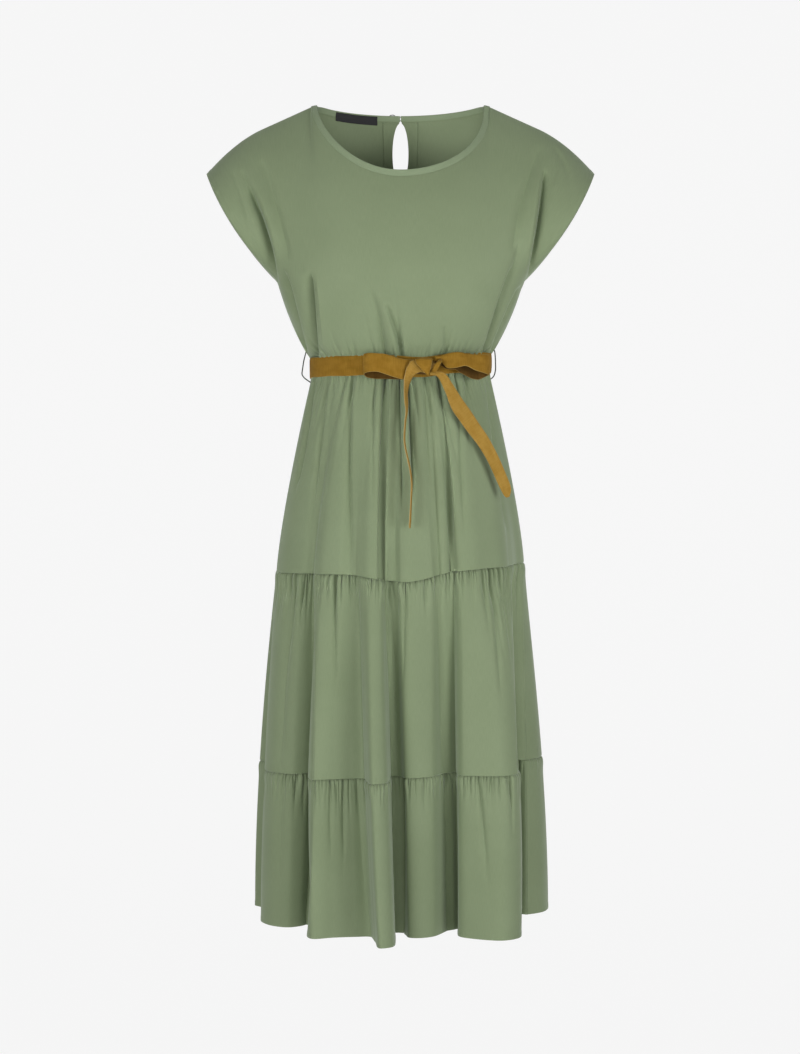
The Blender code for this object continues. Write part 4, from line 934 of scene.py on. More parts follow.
def panel_top(u, side):
    """The panel's upper edge: the neck seam within NECK_SHARE, and the shoulder seam outside it."""
    depth, drop = (FRONT_NECK_DEPTH, FRONT_NECK_DROP) if side == FRONT else (BACK_NECK_DEPTH, BACK_NECK_DROP)
    out = np.abs(u)
    angle = np.clip(out / NECK_SHARE, 0, 1) * math.pi / 2
    beyond = np.clip((out - NECK_SHARE) / (1 - NECK_SHARE), 0, None)
    x = NECK_HALF_WIDTH * np.sin(angle) + (SHOULDER_TIP_X - NECK_HALF_WIDTH) * beyond
    neck_fall = np.maximum(np.cos(angle), 0) ** neck_power(side, u)
    z = shoulder_height(np.maximum(x, NECK_HALF_WIDTH)) - drop * neck_fall
    return np.sign(u) * x, side * depth * np.cos(angle) * (beyond <= 0), z


def eased_top(u, v, side):
    """The upper edge as a column feels it at v: its corners at the neck are smoothed over a growing reach."""
    taps = np.linspace(-1, 1, CORNER_TAPS)
    weights = np.cos(taps * math.pi / 2) ** 2 + 1e-3
    reach = CORNER_REACH * np.clip(v / CORNER_EASED, 0, 1)
    at = u[..., None] + taps * reach[..., None] * (1 - np.abs(u[..., None]) ** CORNER_EDGE_POWER)
    return [np.sum(value * weights, axis=-1) / weights.sum() for value in panel_top(at, side)]


def section_at(height, field):
    rows = SECTIONS[::-1]
    return through([row.height for row in rows], [getattr(row, field) for row in rows], height)


def panel(side, u, v):
    """Points of a bodice panel at u and v, with its creases but not its gathers.

    u runs from -1 to 1 between the left and right edges, and v from 0 at the top over 1 at the underarm to 2
    at the waist. From 0 to 1 each column swings from the upper edge to the underarm section, with its depth
    on a quarter sine; from 1 to 2 it follows the sections.
    """
    creases = FRONT_CREASES if side == FRONT else BACK_CREASES
    u, v = np.broadcast_arrays(np.asarray(u, float), np.asarray(v, float))
    angle = u * math.pi / 2
    upper = np.clip(v, ABOVE_TOP, 1)
    lower = np.clip(v - 1, 0, BELOW_WAIST)
    top_x, top_y, top_z = eased_top(u, upper, side)
    underarm = SECTIONS[0].height
    height = underarm + (WAIST_Z - underarm) * lower
    width = section_at(height, "half_width")
    depth = section_at(height, "front" if side == FRONT else "back")
    around = np.abs(np.cos(angle)) ** section_at(height, "roundness")
    edge = np.abs(u) ** EDGE_SHARE_POWER
    edge_swing = EDGE_SWING_EVEN * upper + (1 - EDGE_SWING_EVEN) * np.abs(upper) ** EDGE_SWING_POWER
    swing = (1 - np.cos(math.pi * upper)) / 2 * (1 - edge) + edge_swing * edge
    x = top_x + (width * np.sin(angle) - top_x) * np.where(v < 1, swing, 1)
    rise = signed_power(np.sin(math.pi / 2 * upper), 1 - RISE_EASE * np.abs(u))
    y = top_y + (side * depth * around - top_y) * np.where(v < 1, rise, 1)
    bulge = np.maximum(np.sin(math.pi * upper), 0) ** SLEEVE_FULLNESS * np.where(v < 1, 1, 0)
    y = y + side * SLEEVE_BULGE * bulge * u**SLEEVE_SHARE_POWER
    z = np.where(v < 1, top_z + (underarm - top_z) * upper, height)
    off_sides = 1 - np.abs(u) ** OFF_EDGE_POWER
    crease_fade = np.clip(upper / CREASE_TOP_FADE, 0, 1) * np.clip((2 - v) / CREASE_WAIST_FADE, 0, 1)
    push = crease_push(x, z, creases) * off_sides * crease_fade
    lean = CREASE_SIDE_LEAN * np.sin(angle) * np.clip(v, 0, 1) ** CREASE_LEAN_POWER
    y = y - side * push * np.sqrt(1 - lean**2) + side * SEAM / 2
    return np.stack([x - push * lean, y, z + WAIST_TILT * x * lower], axis=-1)


def neck_frame(side, u):
    """Points on the neck seam, and there the directions up across the binding and off the body.

    The binding stands square to the seam as seen from the front, and at the shoulders it leans in along them.
    """
    start = panel(side, u, 0.0 * u)
    after, before = np.minimum(u + STEP, NECK_SHARE), np.maximum(u - STEP, -NECK_SHARE)
    along = unit(panel(side, after, 0.0 * u) - panel(side, before, 0.0 * u))
    angle = np.minimum(np.abs(u) / NECK_SHARE, 1) * math.pi / 2
    drop = FRONT_NECK_DROP if side == FRONT else BACK_NECK_DROP
    cosine = np.maximum(np.cos(angle), 1e-4)
    power = neck_power(side, u)
    fall = drop * power * cosine ** (power - 1) * np.sin(angle)
    square = unit(np.stack([-np.sign(u) * fall, 0 * u, NECK_HALF_WIDTH * cosine], axis=-1))
    inward = -np.sign(u) * math.cos(SHOULDER_LEAN)
    at_shoulder = np.stack([inward, 0 * u, 0 * u + math.sin(SHOULDER_LEAN)], axis=-1)
    share = np.sin(angle)[..., None] ** SHOULDER_LEAN_POWER
    across = unit(square * (1 - share) + at_shoulder * share)
    return start, across, unit(np.cross(along, across)) * -side


def panel_normals(side, u, v):
    """Unit normals of a panel, off the body; along the neck they are the binding's."""
    along = panel(side, np.minimum(u + STEP, 1), v) - panel(side, np.maximum(u - STEP, -1), v)
    down = panel(side, u, v + STEP) - panel(side, u, v - STEP)
    normal = unit(np.cross(along, down)) * side
    at_neck = (v <= 1e-9) & (np.abs(u) <= NECK_SHARE + 1e-9)
    return np.where(at_neck[..., None], neck_frame(side, np.clip(u, -NECK_SHARE, NECK_SHARE))[2], normal)


def dressed_panel(side, u, v):
    """A panel's points and normals, with its waist gathers, and its upper edge rolled in a little."""
    points, normal = panel(side, u, v), panel_normals(side, u, v)
    above = points[..., 2] - WAIST_Z - WAIST_TILT * points[..., 0] - BELT_WIDTH / 2
    gathers = WAIST_GATHERS[side] + small_gathers(WAIST_ZONES[side], WAIST_SEED + side)
    push = gather_push(points[-1, :, :2], above, gathers) * (1 - np.abs(u) ** OFF_EDGE_POWER)
    push += EDGE_ROLL * bump(run_along(points, 0), EDGE_ROLL_REACH)
    return points - normal * push[..., None], normal


def keyhole_half_width(z):
    """Half the width of the keyhole at a height: an oval, and a slit from it up to the neck."""
    oval = KEYHOLE_HALF_WIDTH * np.sqrt(np.maximum(1 - ((z - KEYHOLE_Z) / KEYHOLE_HALF_HEIGHT) ** 2, 0))
    return np.where(z > KEYHOLE_Z, np.maximum(oval, KEYHOLE_SLIT), oval)


def keyhole_share(v):
    """The u of the keyhole's edge on the back panel at v, or 0 below it."""
    middle, beside = panel(BACK, 0 * v, v), panel(BACK, 0 * v + PROBE, v)
    return PROBE * keyhole_half_width(middle[..., 2]) / beside[..., 0]


def keyhole_rows():
    """Rows of v down the keyhole, close together at its lower end, and the v of that end."""
    top = panel(BACK, 0.0, 0.0)[2]
    z = KEYHOLE_Z - KEYHOLE_HALF_HEIGHT * np.sin(np.linspace(-1, 1, KEYHOLE_ROWS) * math.pi / 2)
    v = (z - top) / (SECTIONS[0].height - top)
    return v[v > KEYHOLE_ROW_GAP], v[-1]


def split_grid(v, reach, count):
    """u on a grid whose columns part round the keyhole, and its faces, which meet in one column below it.

    Each row has count columns from -reach to the keyhole's left edge, and as many on from its right edge.
    """
    edge = keyhole_share(v)
    share = np.linspace(0, 1, count)
    right = edge[:, None] + (reach - edge[:, None]) * share
    u = np.hstack([-right[:, ::-1], right])
    index = np.arange(u.size).reshape(u.shape)
    closed = edge < 1e-9
    index[closed, count] = index[closed, count - 1]
    return u, np.concatenate([index_faces(index[:, :count]), index_faces(index[:, count:])])


def build_panels():
    """The front and back panels. Their armhole edges are turned in twice, and so twice as thick."""
    row = np.concatenate([TOP_ROWS, np.linspace(FIRST_EVEN_ROW, 2, PANEL_ROWS)])
    column = np.linspace(-1, 1, PANEL_COLUMNS)
    column = np.sin(column * math.pi / 2) * SIDE_CROWDING + column * (1 - SIDE_CROWDING)
    u, v = np.meshgrid(column, row)
    points, normal = dressed_panel(FRONT, u, v)
    front = shell("bodice_front_cloth", points, normal, turned_edges(points, v), SAGE,
                  ("bodice_front",))

    down, end = keyhole_rows()
    row = np.concatenate([TOP_ROWS[:2], down, np.linspace(end + KEYHOLE_ROW_GAP, 2, BACK_ROWS)])
    row = np.sort(row)
    u, faces = split_grid(row, 1.0, HALF_COLUMNS)
    v = np.broadcast_to(row[:, None], u.shape)
    points, normal = dressed_panel(BACK, u, v)
    back = shell("bodice_back_cloth", points, normal, turned_edges(points, v), SAGE,
                 ("bodice_back",), faces)


def turned_edges(points, v):
    """The cloth's thickness over a panel: thicker where the armholes' edges are turned in."""
    across = run_along(points, 1)
    from_edge = np.minimum(across, across[:, -1:] - across)
    turned = np.clip((ARMHOLE_TURN - from_edge) / ARMHOLE_STEP, 0, 1) * (v < 1)
    return CLOTH + (ARMHOLE_CLOTH - CLOTH) * turned


def build_binding(name, side, u, replaces):
    """A strip of cloth folded over the neck edge: a soft oval, as wide as the binding and as thick."""
    start, across, normal = neck_frame(side, u)
    low, high = -BINDING_LAP, SEAM + BINDING_WIDTH
    middle = start + across * (low + high) / 2
    angle = turns(BINDING_SIDES)
    wide = signed_power(np.cos(angle), BINDING_POWERS[0]) * (high - low) / 2
    thick = signed_power(np.sin(angle), BINDING_POWERS[1]) * BINDING / 2
    run = run_along(middle[None], 1)[0][:, None]
    puckers = np.sin(run * 2 * math.pi / STITCH_PITCH) * bump(wide + BINDING_WIDTH / 2, PUCKER_REACH)
    thick = thick * (1 + PUCKER * puckers)
    sides = middle[:, None] + across[:, None] * wide[:, None] + normal[:, None] * thick[..., None]
    binding = loft(name, middle, sides, SAGE_BINDING, replaces)
    stitches(name + "_stitches", start + across * STITCH_UP + normal * (BINDING * STITCH_OFF), normal)


# The faces of a stitch between its six corners: the start, four round its middle, and the end. Each corner
# also has a place on the flat thread.
STITCH_FACES = [(0, 1, 2), (0, 2, 3), (0, 3, 4), (0, 4, 1), (5, 2, 1), (5, 3, 2), (5, 4, 3), (5, 1, 4)]
STITCH_UV = [(0, 0), (1, 1), (0, 1), (1, 2), (1, 3), (0, 2)]
STITCH_UV_SCALE = 0.0006


def stitches(name, route, outward):
    """A row of stitches along a route: each is an eight-sided lozenge, sunk at both ends."""
    run = run_along(route[None], 1)[0]
    length, radius = STITCH_PITCH * STITCH_SHARE, STITCH_RADIUS
    centre = np.arange(length, run[-1] - length, STITCH_PITCH)

    def at(place):
        return np.column_stack([np.interp(place, run, column) for column in route.T])

    start, end = at(centre - length / 2), at(centre + length / 2)
    lift = unit(np.column_stack([np.interp(centre, run, column) for column in outward.T]))
    beside = unit(np.cross(end - start, lift)) * radius
    middle = at(centre)
    corners = np.stack([start, middle + beside, middle + lift * radius, middle - beside,
                        middle - lift * radius, end], axis=1)
    pattern = np.array(STITCH_FACES)
    first = corners[0]
    face = first[pattern[0]]
    if np.dot(np.cross(face[1] - face[0], face[2] - face[0]), face.mean(0) - first.mean(0)) < 0:
        pattern = pattern[:, ::-1]
    faces = (pattern + 6 * np.arange(len(centre))[:, None, None]).reshape(-1, 3)
    uv = np.tile(np.array(STITCH_UV) * STITCH_UV_SCALE, (len(centre), 1))
    add_piece(name, corners.reshape(-1, 3), faces, STITCH_THREAD, (), uv)


def build_bindings():
    front = np.linspace(-NECK_SHARE, NECK_SHARE, BINDING_COLUMNS)
    build_binding("neck_binding_front_cloth", FRONT, front, ("neck_binding_front",))
    end = BACK_BINDING_END / NECK_HALF_WIDTH / (math.pi / 2) * NECK_SHARE
    right = np.linspace(end, NECK_SHARE, BINDING_COLUMNS // 2)
    build_binding("neck_binding_back_left_cloth", BACK, -right[::-1], ("neck_binding_back_left",))
    build_binding("neck_binding_back_right_cloth", BACK, right, ("neck_binding_back_right",))


def build_facing():
    """The strip inside the back round the keyhole, moved in from the panel, with its outer edges turned."""
    down, end = keyhole_rows()
    row = np.concatenate([[FACING_TOP], down, np.linspace(end + KEYHOLE_ROW_GAP, FACING_LOW, FACING_ROWS)])
    row = np.sort(row)
    u, faces = split_grid(row, FACING_HALF_SHARE, FACING_COLUMNS)
    v = np.broadcast_to(row[:, None], u.shape)
    points, normal = dressed_panel(BACK, u, v)
    points = points - normal * (CLOTH / 2 + SEAM + FACING_CLOTH / 2)
    facing = shell("keyhole_facing_cloth", points, normal, FACING_CLOTH, SAGE,
                   ("keyhole_facing",), faces)


def build_label():
    """A plain woven label inside the back neck, over the binding's lower part."""
    u = np.linspace(LABEL_LEFT, LABEL_RIGHT, LABEL_COLUMNS)
    start, across, normal = neck_frame(BACK, u)
    down = unit(panel(BACK, u, 0.0 * u + LABEL_PROBE) - start)
    reach = np.linspace(-LABEL_BELOW_SEAM, LABEL_ABOVE_SEAM, LABEL_ROWS)[:, None, None]
    lift = BINDING / 2 + SEAM + LABEL_CLOTH / 2
    points = start + across * np.maximum(reach, 0) + down * np.maximum(-reach, 0) - normal * lift
    label = shell("neck_label_cloth", points, np.broadcast_to(normal, points.shape), LABEL_CLOTH, BLACK,
                  ("neck_label",))


def build_fastening():
    """A small domed button outside the left end of the back binding, and a thread loop from its right end."""
    start, across, normal = neck_frame(BACK, np.array([BUTTON_SHARE]))
    out = normal[0]
    seat = start[0] + across[0] * (SEAM + BINDING_WIDTH) / 2
    centre = seat + out * (BINDING / 2 + SEAM)
    profile = np.array(BUTTON_RINGS)
    sideways = unit(np.cross(out, (0, 0, 1.0)))
    upright = np.cross(out, sideways)
    angle = turns(BUTTON_SIDES)[:, None]
    radius, height = profile[:, :1] * BUTTON_RADIUS, profile[:, 1:] * BUTTON_HEIGHT
    ring = np.cos(angle) * sideways + np.sin(angle) * upright
    centres = centre + out * height
    sides = centres[:, None] + ring * radius[:, None]
    loft("neck_button_shell", centres, sides, BUTTON, ("neck_button",))

    start, across = neck_frame(BACK, np.array([LOOP_SHARE]))[:2]
    anchor = start[0] + across[0] * (SEAM + BINDING_WIDTH) / 2 + out * (BINDING / 2 + SEAM + LOOP_THREAD / 2)
    sideways = np.array([1.0, 0, 0])
    upright = np.cross(out, sideways)
    middle = centre + out * LOOP_THREAD / 2
    swing = BUTTON_RADIUS + LOOP_THREAD
    turn = np.radians(np.linspace(LOOP_FROM_DEG, LOOP_TO_DEG, LOOP_STEPS))[:, None]
    route = np.vstack([anchor + upright * LOOP_ENDS_APART / 2,
                       middle + sideways * swing * np.cos(turn) + upright * swing * np.sin(turn),
                       anchor - upright * LOOP_ENDS_APART / 2])
    sides = tube_sides(route, LOOP_THREAD / 2)
    loft("neck_button_loop_thread", route, sides, SAGE_THREAD, ("neck_button_loop",))


# ---------------------------------------------------------------- belt and its carriers

# The bow's loops, in mm: from the knot along the front layer to the tip and back along the rear layer. top
# and foot are the heights of the edges, and lean is how much further forward the foot is than the top.
LoopStation = namedtuple("LoopStation", "x y top foot lean")
LEFT_LOOP = [LoopStation(*row) for row in (
    (18, -106, -370, -395, 2), (10, -109, -370, -397, 2), (4.2, -112, -369.6, -398, 3),
    (-8.5, -117, -366.7, -395.1, 4), (-21.3, -119.5, -362.7, -390.9, 4), (-31.9, -120, -361.8, -387.6, 4),
    (-42.6, -118, -361.2, -387.7, 3), (-49.5, -112.5, -362, -389.2, 1), (-51, -106.5, -363.5, -391.5, 0),
    (-46, -100.5, -366, -395, -1), (-35, -98.5, -368, -396.8, -2), (-22, -99.5, -368.5, -396.8, -2),
    (-6, -101, -369, -397.5, -2), (10, -102, -370, -398, -2),
)]
RIGHT_LOOP = [LoopStation(*row) for row in (
    (48, -101.5, -365.3, -371.8, 0), (55.2, -103, -365, -373, 1), (58.7, -104.5, -364.3, -375.4, 2),
    (65.7, -107, -361.4, -382, 5), (77.3, -109.5, -359.6, -381.7, 6), (85, -109.5, -360, -380, 8),
    (92.8, -107.5, -361.6, -379.3, 9), (104.3, -102, -362.7, -384.8, 7), (115.9, -94, -362.4, -388, 3),
    (122.3, -86, -362.3, -390, 1), (125.3, -78, -362.8, -390.4, 0), (123, -70.5, -364.3, -391.6, 0),
    (111.3, -70.5, -368.8, -396.9, 0), (103.3, -76, -368.8, -396.4, 0), (97.6, -80.5, -368.8, -394.6, 0),
    (89.7, -85, -367.8, -390.5, 0), (82.6, -89, -365.8, -387.1, 0), (77.9, -91.5, -365.8, -384.1, 0),
    (72.3, -94, -365.8, -383.7, 0), (65.3, -97, -366.8, -383, 0), (60.6, -99, -367.3, -381.2, 0),
    (55.5, -101.5, -368.3, -378, 0), (48, -103, -366.8, -374.8, 0),
)]
# The tails, seen from the front: their left and right edges, how far they stand off the skirt, and how much
# further forward the left edge is than the right one.
TailStation = namedtuple("TailStation", "left_x left_z right_x right_z off deep")
LEFT_TAIL = [TailStation(*row) for row in (
    (18.9, -370.7, 37, -390.3, 19, 0), (13.8, -372.6, 29.3, -387.9, 20, 0),
    (10.5, -378.9, 23.5, -389.2, 20, 1), (7.7, -384.1, 20.4, -391.1, 18, 3),
    (6.2, -391.1, 17.3, -394.2, 16, 6), (5, -397.2, 15.4, -397.9, 12, 10), (4.9, -406.3, 11.8, -406.4, 7, 14),
    (4.9, -417.5, 10.1, -418, 5, 15), (5.6, -430.1, 10.5, -430.1, 4, 15.5), (7.2, -442.7, 9.9, -442.7, 3, 16),
    (5.6, -458.1, 7.4, -458.1, 3, 16.5), (4.6, -484.6, 6.2, -484.6, 3, 16.5),
    (9, -508.2, 10.6, -508.2, 3, 16.5), (12.3, -523.5, 13.9, -523.5, 3, 16.5),
    (14.4, -542.8, 16, -542.8, 3, 16.5), (13.3, -573.1, 14.9, -573.1, 3, 16.5),
    (12.1, -593.7, 14.2, -593.7, 3, 14), (11.7, -599.1, 13.7, -599.1, 4, 10),
    (12.1, -604.2, 13, -604.2, 5, 4),
)]
RIGHT_TAIL = [TailStation(*row) for row in (
    (41.3, -391.5, 41.3, -387.3, 14, 0), (46.9, -392.2, 50.7, -386.7, 14, 0),
    (51.1, -394, 58.4, -387.8, 14, 0), (54.6, -398.5, 65.1, -392.1, 12.5, 0),
    (58.4, -406.3, 71.4, -401.9, 11, 1), (63.8, -418.7, 77.8, -411.7, 10, 2),
    (71.5, -439, 86.9, -425.7, 9, 2), (83.4, -456.5, 98.9, -442.5, 8, 2), (94.7, -472, 110.1, -459.3, 7, 1),
    (108.7, -490.2, 122.8, -478, 6.5, 0), (120, -508.4, 133.3, -497.2, 6, 0),
    (128.4, -525.3, 141, -513.4, 6, 0), (135.4, -541.4, 148.7, -531.6, 6, 0),
    (141.9, -554.7, 154.4, -546.3, 6, 0), (145.9, -561.1, 155.1, -554, 6, 0),
    (148.7, -563.4, 153.1, -561.8, 6, 0),
)]
# A strip has STRIP_COLUMNS across it, is declared at least LEAST_SHEET wide, and thins towards its cut edges
# by a share of its thickness.
STRIP_COLUMNS, LEAST_SHEET = 15, 0.01
STRIP_THINNING, BAND_THINNING, THINNING_POWER = 0.45, 0.5, 8
LOOP_CUP, TAIL_CUP, KNOT_CUP = 0.0008, 0.0006, 0.0015
BOW_LOOP_STEPS, TAIL_STEPS, KNOT_STEPS = 160, 220, 70
BAND_HEIGHT, BAND_SLOPE, BAND_DIP, BAND_DIP_X, BAND_DIP_REACH = -0.3752, 0.0283, 0.0062, 0.025, 0.034
# The band's waves: height, count round the waist, and start. Its arch, and the ripple over it: depth, count
# and how far it slants across the band.
BAND_COLUMNS, BAND_WAVES = 420, [(0.00045, 5, 1), (0.0003, 13, 0)]
BAND_ARCH, BAND_RIPPLE, BAND_RIPPLES, BAND_RIPPLE_SLANT = 0.0005, 0.0004, 9, 3
# A tail lies before the cloth within TAIL_REACH of it, smoothed over TAIL_SMOOTHING of the places looked at.
TAIL_REACH, TAIL_SMOOTHING, TAIL_CLOTH_ROWS, TAIL_CLOTH_COLUMNS = 0.014, 5, 60, 400
KNOT_X, KNOT_Z = 0.0325, -0.3810
KNOT_WIDTH, KNOT_DEPTH, KNOT_HEIGHT = 0.0340, 0.0150, 0.0190
# The knot's pad: points round it, rings, the angle of its last ring, and the powers that make it square
# across, in depth, from ring to ring and in height. It is wider at its top by a share, KNOT_FLARE, and
# thinner than KNOT_DEPTH by KNOT_SLACK each way.
KNOT_SIDES, KNOT_RINGS, KNOT_LAST_RING = 48, 25, 1.48
KNOT_ACROSS, KNOT_DEEP, KNOT_FLAT, KNOT_HIGH = 0.55, 0.65, 0.5, 0.7
KNOT_FLARE, KNOT_SLACK = 0.07, 0.0008
# The knot's strips, in mm, from the top down: the x of their left and right edges, their height, and their y.
KNOT_WRAP = [
    (21, 44, -371.7, -104), (20.4, 44.6, -369.8, -112), (20.6, 44.4, -371, -118.5),
    (21.9, 43.6, -375.9, -121), (26.6, 42.2, -381.5, -122), (31.4, 41, -387, -122),
    (36.9, 40.1, -391.9, -121.5), (39.5, 40.3, -394, -121),
]
KNOT_TUCK = [
    (54, 58, -370.7, -105), (51, 57.3, -373.5, -113), (47.5, 55.5, -377, -117), (44.5, 53.3, -381.9, -117),
    (41.9, 50.3, -386.7, -114),
]
# The carriers' corners, in mm: x and z. They are rounded by a moving average over CARRIER_SMOOTHING steps.
CARRIER_THREAD, CARRIER_STEPS, CARRIER_SMOOTHING = 0.0017, 90, 9
CARRIERS = {
    "left": [(-135.5, -350.5), (-140, -368.5), (-142.8, -387.5), (-139, -392.7), (-129.3, -399.5)],
    "right": [(133.5, -349.5), (136.3, -353.7), (137.2, -364), (137.6, -380), (136, -388), (133, -392.5),
              (129.5, -394.5)],
}


def thinned(across, share):
    """The thickness of a strip, across it from -1 to 1, that has lost a share of it at its edges."""
    return SUEDE * (1 - share * across**THINNING_POWER)


def strip(name, first, second, replaces=(), cup=0.0, finish=OCHRE, inside=None, outside=1):
    """A suede strip between two edges, rows of points, arched by cup towards the side that shows.

    outside is 1 where that side lies along the strip's normals, or -1.
    """
    share = np.linspace(0, 1, STRIP_COLUMNS)[:, None]
    middle = first + (second - first) * share[..., None]
    outward = grid_normals(middle) * outside
    middle = middle + outward * (cup * 4 * share * (1 - share))[..., None]
    along = run_along(middle, 1)[len(middle) // 2]
    uv = np.stack(np.broadcast_arrays(along, (share - 0.5) * BELT_WIDTH), axis=-1)
    made = shell(name, middle, outward, thinned(2 * share - 1, STRIP_THINNING), finish,
                 replaces, uv=uv, inside=inside)
    width = np.linalg.norm(second - first, axis=-1)
    length = np.linalg.norm(np.diff((first + second) / 2, axis=0), axis=-1)


def build_band():
    """The belt's band: a tilted oval strip round the waist, pulled down at the knot, a little wavy."""
    angle = np.linspace(0, 2 * math.pi, BAND_COLUMNS, endpoint=False)
    depth = np.where(np.cos(angle) > 0, WAIST_FRONT, WAIST_BACK) + BELT_EASE
    half_width = WAIST_HALF_WIDTH + BELT_EASE
    x, y = half_width * np.sin(angle), -depth * np.cos(angle)
    normal = unit(np.column_stack([x / half_width**2, y / depth**2, 0 * x]))
    share = np.linspace(0.5, -0.5, STRIP_COLUMNS)[:, None]
    wave = sum(height * np.sin(count * angle + start) for height, count, start in BAND_WAVES)
    dip = BAND_DIP * bump(x - BAND_DIP_X, BAND_DIP_REACH) * (np.cos(angle) > 0)
    z = BAND_HEIGHT + BAND_SLOPE * x - dip + share * BELT_WIDTH + wave
    ripple = BAND_RIPPLE * np.sin(BAND_RIPPLES * angle + BAND_RIPPLE_SLANT * share)
    arch = BAND_ARCH * (1 - 4 * share**2) + ripple
    rows = np.stack(np.broadcast_arrays(x, y, z), axis=-1) + normal * arch[..., None]
    along = run_along(rows, 1)[len(rows) // 2]
    uv = np.stack(np.broadcast_arrays(along, share * BELT_WIDTH), axis=-1)
    band = shell("belt_band_suede", rows, np.broadcast_to(normal, rows.shape),
                 thinned(2 * share, BAND_THINNING), OCHRE, ("belt_band",), ring=True, uv=uv)


def build_loop(name, stations, replaces, outside):
    x, y, top, foot, lean = smooth_route(stations, BOW_LOOP_STEPS).T * MM
    # The loop's inner side takes the dark copy of the suede: painted shade inside the loop.
    strip(name, np.column_stack([x, y + lean / 2, top]), np.column_stack([x, y - lean / 2, foot]), replaces,
          cup=LOOP_CUP, inside=OCHRE_PAINTED_SHADE, outside=outside)


def skirt_front_points():
    """Points all over the first tier's front."""
    turn = half_turns(FRONT, TAIL_CLOTH_COLUMNS)
    return tier_surface(1, FRONT, turn, np.linspace(0, 1, TAIL_CLOTH_ROWS))[0].reshape(-1, 3)


def in_front_of(cloth, x, z):
    """The foremost y of the cloth's points near (x, z), seen from the front."""
    near = np.hypot(cloth[:, 0] - x, cloth[:, 2] - z) < TAIL_REACH
    return cloth[near, 1].min()


def build_tail(name, stations, cloth, replaces):
    """A tail hangs in front of the cloth and of the band, which it follows smoothed over its length."""
    coarse = smooth_route(stations, 3 * len(stations) - 2).T * MM
    middle = np.column_stack([coarse[0] + coarse[2], coarse[1] + coarse[3]]) / 2
    y = smoothed(np.array([[in_front_of(cloth, *place)] for place in middle]), TAIL_SMOOTHING)[:, 0]
    y = np.minimum(y, -(WAIST_FRONT + BELT_EASE + SUEDE))
    left_x, left_z, right_x, right_z, off, deep = smooth_route(stations, TAIL_STEPS).T * MM
    y = through(np.linspace(0, 1, len(y)), y, np.linspace(0, 1, len(off))) - off - np.abs(deep) / 2
    left, right = (left_x, y - deep / 2, left_z), (right_x, y + deep / 2, right_z)
    # The tails take the paler copy of the suede: painted light.
    strip(name, np.column_stack(left), np.column_stack(right), replaces, cup=TAIL_CUP, finish=OCHRE_PAINTED_LIGHT,
          outside=-1)


def build_knot():
    """The knot: a soft pad seated on the band, under two strips.

    The wrap crosses it from the top to a point at its foot, and the tuck comes down to the right of that.
    """
    half_width, band_front = WAIST_HALF_WIDTH + BELT_EASE, WAIST_FRONT + BELT_EASE
    seat = np.array([KNOT_X, -band_front * math.sqrt(1 - (KNOT_X / half_width) ** 2), KNOT_Z])
    out = unit(np.array([seat[0] / half_width**2, seat[1] / band_front**2, 0]))
    sideways = np.array([-out[1], out[0], 0])
    upwards = np.array([0, 0, 1.0])
    turn, rise = np.meshgrid(np.linspace(0, 2 * math.pi, KNOT_SIDES, endpoint=False),
                             np.linspace(-1, 1, KNOT_RINGS) * KNOT_LAST_RING)
    flat = signed_power(np.cos(rise), KNOT_FLAT)
    across = signed_power(np.cos(turn), KNOT_ACROSS) * flat * KNOT_WIDTH / 2 * (1 + KNOT_FLARE * np.sin(rise))
    deep = signed_power(np.sin(turn), KNOT_DEEP) * flat * (KNOT_DEPTH / 2 - KNOT_SLACK)
    high = signed_power(np.sin(rise), KNOT_HIGH) * KNOT_HEIGHT / 2
    centre = seat + out * (SUEDE / 2 + SEAM + KNOT_DEPTH / 2)
    sides = centre + across[..., None] * sideways + deep[..., None] * out + high[..., None] * upwards
    centres = centre + high[:, :1] * upwards
    # The pad takes the dark copy of the suede: painted shade under the knot's strips.
    loft("belt_knot_suede", centres, sides, OCHRE_PAINTED_SHADE, ("belt_knot",))
    for name, stations in (("belt_knot_wrap_suede", KNOT_WRAP), ("belt_knot_tuck_suede", KNOT_TUCK)):
        left, right, z, y = smooth_route(stations, KNOT_STEPS).T * MM
        strip(name, np.column_stack([left, y, z]), np.column_stack([right, y, z]), cup=KNOT_CUP, outside=-1)


def build_carriers():
    """A thread loop at each side seam, standing off the belt: from above it, out, and back in below it."""
    for label, stations in CARRIERS.items():
        corners = np.array([(x, 0.0, z) for x, z in stations]) * MM
        run = run_along(corners[None], 1)[0]
        even = np.linspace(0, run[-1], CARRIER_STEPS)
        straight = np.column_stack([np.interp(even, run, column) for column in corners.T])
        route = smoothed(straight, CARRIER_SMOOTHING)
        name = f"belt_carrier_{label}"
        sides = tube_sides(route, CARRIER_THREAD / 2)
        loft(name + "_thread", route, sides, SAGE_THREAD, (name,))


# ---------------------------------------------------------------- the room

CAMERA_PLACE, CAMERA_PITCH = (-0.0007, -3.2, -0.493), 2.061
SENSOR, FOCAL_PIXELS, IMAGE_HEIGHT = 36, 2208.6, 1054
# The paper lies flat from FLOOR_FRONT back to FLOOR_BACK, sweeps up on a quarter circle and then stands.
FLOOR_Z, FLOOR_FRONT, FLOOR_BACK, FLOOR_HALF_WIDTH = -1.52, -6, 1.6, 7
SWEEP_RADIUS, PAPER_HEIGHT = 1.2, 5.0
# Behind the dress the paper glows: where that starts and is full going back, and where it fades out sideways.
GLOW_FROM, GLOW_FULL, GLOW_FADES, GLOW_ENDS, GLOW_STRENGTH = 0.1, 0.4, 1.25, 1.45, 0.97
PALE, GREY, DIM, DARK = ((tone, tone, tone, 1) for tone in (0.922, 0.7, 0.05, 0))
SKY_STRENGTH = 0.20
